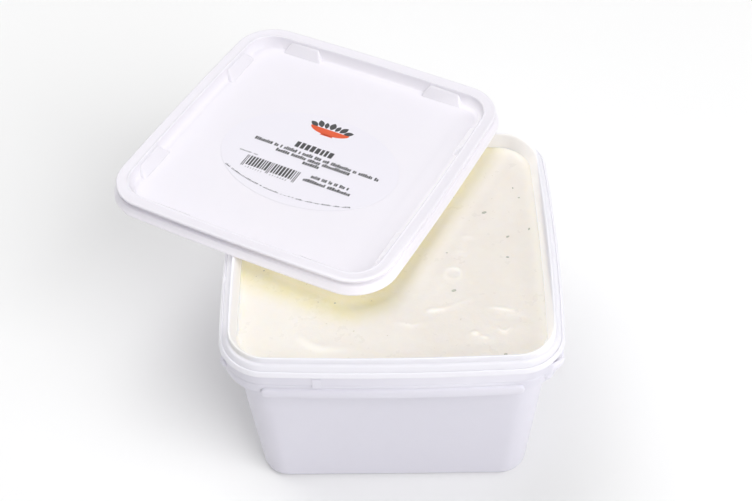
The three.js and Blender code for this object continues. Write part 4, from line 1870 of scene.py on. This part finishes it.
@dataclass(frozen=True)
class Herbs:
    """Herb flakes that show in the surface and others under the lid, with fine specks."""

    dip: Dip
    hidden: int = 12
    hidden_x: Spot = (-62, 18)
    hidden_y: Spot = (4, 62)
    hidden_long: Spot = (0.7, 1.5)
    sunk: float = 0.17
    seed: int = 71

    def all_flecks(self) -> list[HerbFleck]:
        """The flecks that show and a seeded scatter for the covered part."""
        draw = random.Random(self.seed)
        ranges = (self.hidden_x, self.hidden_y, (0, 180), self.hidden_long)
        hidden = [HerbFleck(*(draw.uniform(*ends) for ends in ranges)) for _ in range(self.hidden)]
        return [*HERB_FLECKS, *hidden]

    def surface_at(self, x: float, y: float) -> float:
        """Height of the dip's surface at a place, in mm."""
        place_x, place_y = np.array([x]), np.array([y])
        wall = self.dip.wall_distance(place_x, place_y)
        return float(self.dip.surface_height(place_x, place_y, wall)[0])

    def build_flecks(self, flakes: Recipe, finish: Material) -> Object:
        """Lays the flakes half into the surface."""
        flecks = self.all_flecks()
        places = [(f.x, f.y, self.surface_at(f.x, f.y) - self.sunk) for f in flecks]
        mesh = bpy.data.meshes.new("fleck_places")
        mesh.from_pydata([tuple(c * MM for c in place) for place in places], [], [])
        store(mesh, "long", [f.long * MM for f in flecks])
        store(mesh, "heading", [math.radians(f.heading) for f in flecks])
        piece = flakes.bake(mesh, "dip_herb_flecks", finish)
        face_out(piece.data)
        return piece

    def build_specks(self, body: Object, specks: Recipe, finish: Material) -> Object:
        """Scatters fine specks over the dip's surface."""
        work = bmesh.new()
        work.from_mesh(body.data)
        low, steepest = (self.dip.fill - 0.4) * MM, 0.8
        hidden = [
            face
            for face in work.faces
            if face.calc_center_median().z < low or face.normal.z < steepest
        ]
        bmesh.ops.delete(work, geom=hidden, context="FACES")
        piece = specks.bake(settle(work, "surface"), "dip_fine_specks", finish)
        face_out(piece.data)
        return piece


# ---------------------------------------------------------------- camera, light and floor


@dataclass(frozen=True)
class ViewingAngle:
    """The camera's place and aim. Lengths are in millimetres, angles in degrees."""

    place: Place = (7.278, -502.414, 621.559)
    pitch: float = 46.0913
    yaw: float = -1.7144
    roll: float = -2.0363
    lens: float = 68.35
    sensor: float = 36.0

    def build(self) -> Object:
        """Makes the camera and sets it as the scene's."""
        data = bpy.data.cameras.new("camera")
        data.sensor_width = self.sensor
        data.lens = self.lens
        data.clip_start = 0.01
        camera = bpy.data.objects.new("camera", data)
        yaw, pitch, roll = (math.radians(a) for a in (self.yaw, self.pitch, self.roll))
        level = math.cos(pitch)
        ahead = Vector((math.sin(yaw) * level, math.cos(yaw) * level, -math.sin(pitch)))
        right = Vector((math.cos(yaw), -math.sin(yaw), 0.0))
        up = right.cross(ahead)
        x_axis = right * math.cos(roll) + up * math.sin(roll)
        y_axis = up * math.cos(roll) - right * math.sin(roll)
        turn = Matrix((x_axis, y_axis, -ahead)).transposed().to_4x4()
        camera.matrix_world = Matrix.Translation(Vector(self.place) * MM) @ turn
        bpy.context.scene.collection.objects.link(camera)
        bpy.context.scene.camera = camera
        return camera


@dataclass(frozen=True)
class Softbox:
    """A soft studio light. Places are in metres."""

    name: str
    place: Place
    aim: Place
    size: Spot
    watts: float

    def build(self) -> Object:
        """Makes the light."""
        data = bpy.data.lights.new(self.name, "AREA")
        data.shape = "RECTANGLE"
        data.size, data.size_y = self.size
        data.energy = self.watts
        light = bpy.data.objects.new(self.name, data)
        light.location = self.place
        ahead = Vector(self.aim) - Vector(self.place)
        light.rotation_euler = ahead.to_track_quat("-Z", "Y").to_euler()
        bpy.context.scene.collection.objects.link(light)
        return light


@dataclass(frozen=True)
class Studio:
    """Pale floor, even sky light and softboxes. The floor's sizes are in metres."""

    floor_half: float = 4.0
    floor_drop: float = 0.0002
    floor_roughness: float = 0.9
    floor_colour: Rgb = (0.89, 0.89, 0.89)
    sky: Rgb = WHITE
    sky_strength: float = 0.4
    softboxes: tuple[Softbox, ...] = (
        Softbox("overhead", (-0.7, 0.8, 2.1), (0.0, 0.0, 0.05), (1.7, 1.7), 24.0),
        Softbox("front", (1.4, -1.35, 1.7), (0.0, 0.0, 0.05), (2.0, 2.0), 48.0),
    )

    def build(self) -> None:
        """Makes the floor, the world and the lights."""
        work = bmesh.new()
        bmesh.ops.create_grid(work, x_segments=2, y_segments=2, size=self.floor_half)
        mesh = settle(work, "floor")
        mesh.transform(Matrix.Translation((0, 0, -self.floor_drop)))
        dressing = Dressing("pale_floor")
        dressing.constants(Base_Color=(*self.floor_colour, 1.0), Roughness=self.floor_roughness)
        keep_piece(mesh, "floor", dressing.material)
        world = bpy.data.worlds.new("sky")
        world.use_nodes = True
        background = world.node_tree.nodes["Background"]
        background.inputs["Color"].default_value = (*self.sky, 1.0)
        background.inputs["Strength"].default_value = self.sky_strength
        scene = bpy.context.scene
        scene.world = world
        scene.view_settings.view_transform = "Standard"
        for softbox in self.softboxes:
            softbox.build()


# ---------------------------------------------------------------- assembly


def report(piece: Object, slot: Slot, *nodes: str) -> None:
    """Rides a piece on the object's one body and names its slot and the nodes it stands for.

    Args:
        piece: The piece.
        slot: The record's material slot.
        nodes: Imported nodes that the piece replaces.
    """
    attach(piece, BODY)
    if nodes:
        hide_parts(*nodes)
    log.info("%s: %d faces, %s", piece.name, len(piece.data.polygons), slot.value)


def main() -> None:
    """Builds and dresses every piece."""
    logging.basicConfig(level=logging.INFO, format="%(message)s")
    groups = SharedGroups(mottle_group(), relief_group())
    finishes = (
        # Each plastic's second colour is painted shading: darker on the tub's body, a touch lighter
        # on the lid's panel.
        MouldedPlastic("tub_white", (0.82, 0.81, 0.86), (0.72, 0.706, 0.78)),
        MouldedPlastic(
            "lid_white",
            (0.79, 0.77, 0.82),
            (0.797, 0.777, 0.826),
            roughness=0.46,
            haze_roughness=0.58,
        ),
        LabelFilm(),
        Cream(),
        HerbLeaf(),
        HerbLeaf("fine_herb", (0.50, 0.46, 0.36), (0.64, 0.60, 0.50)),
        Ink("charcoal_ink", (0.035, 0.035, 0.037), (0.075, 0.075, 0.078)),
        Ink("orange_red_ink", (0.66, 0.075, 0.018), (0.74, 0.11, 0.03)),
    )
    materials = [finish.build(groups) for finish in finishes]
    tub_white, lid_white, film, cream, herb, speck, charcoal, warm = materials
    loft, copies = loft_recipe(), copies_recipe()

    tub, lid, dip, label = Tub(), Lid(), Dip(), Label()
    herbs = Herbs(dip)
    report(tub.build_shell(loft, tub_white), Slot.TUB, "tub")
    report(tub.build_bars(copies, tub_white), Slot.TUB)
    report(tub.build_tear_tab(tub_white), Slot.TUB)
    dip_body = dip.build_body(loft, cream)
    report(dip_body, Slot.DIP, "dip")
    report(herbs.build_flecks(flake_recipe(), herb), Slot.DIP)
    report(herbs.build_specks(dip_body, speck_recipe(), speck), Slot.DIP)
    report(lid.build_shell(loft, lid_white), Slot.LID, "lid")
    report(lid.build_lugs(copies, lid_white), Slot.LID)
    report(label.build_film(lid, film), Slot.LABEL, "label")
    for piece in label.build_print(lid, row_recipe(), charcoal, warm):
        report(piece, Slot.LABEL)

    ViewingAngle().build()
    Studio().build()


if __name__ == "__main__":
    main()
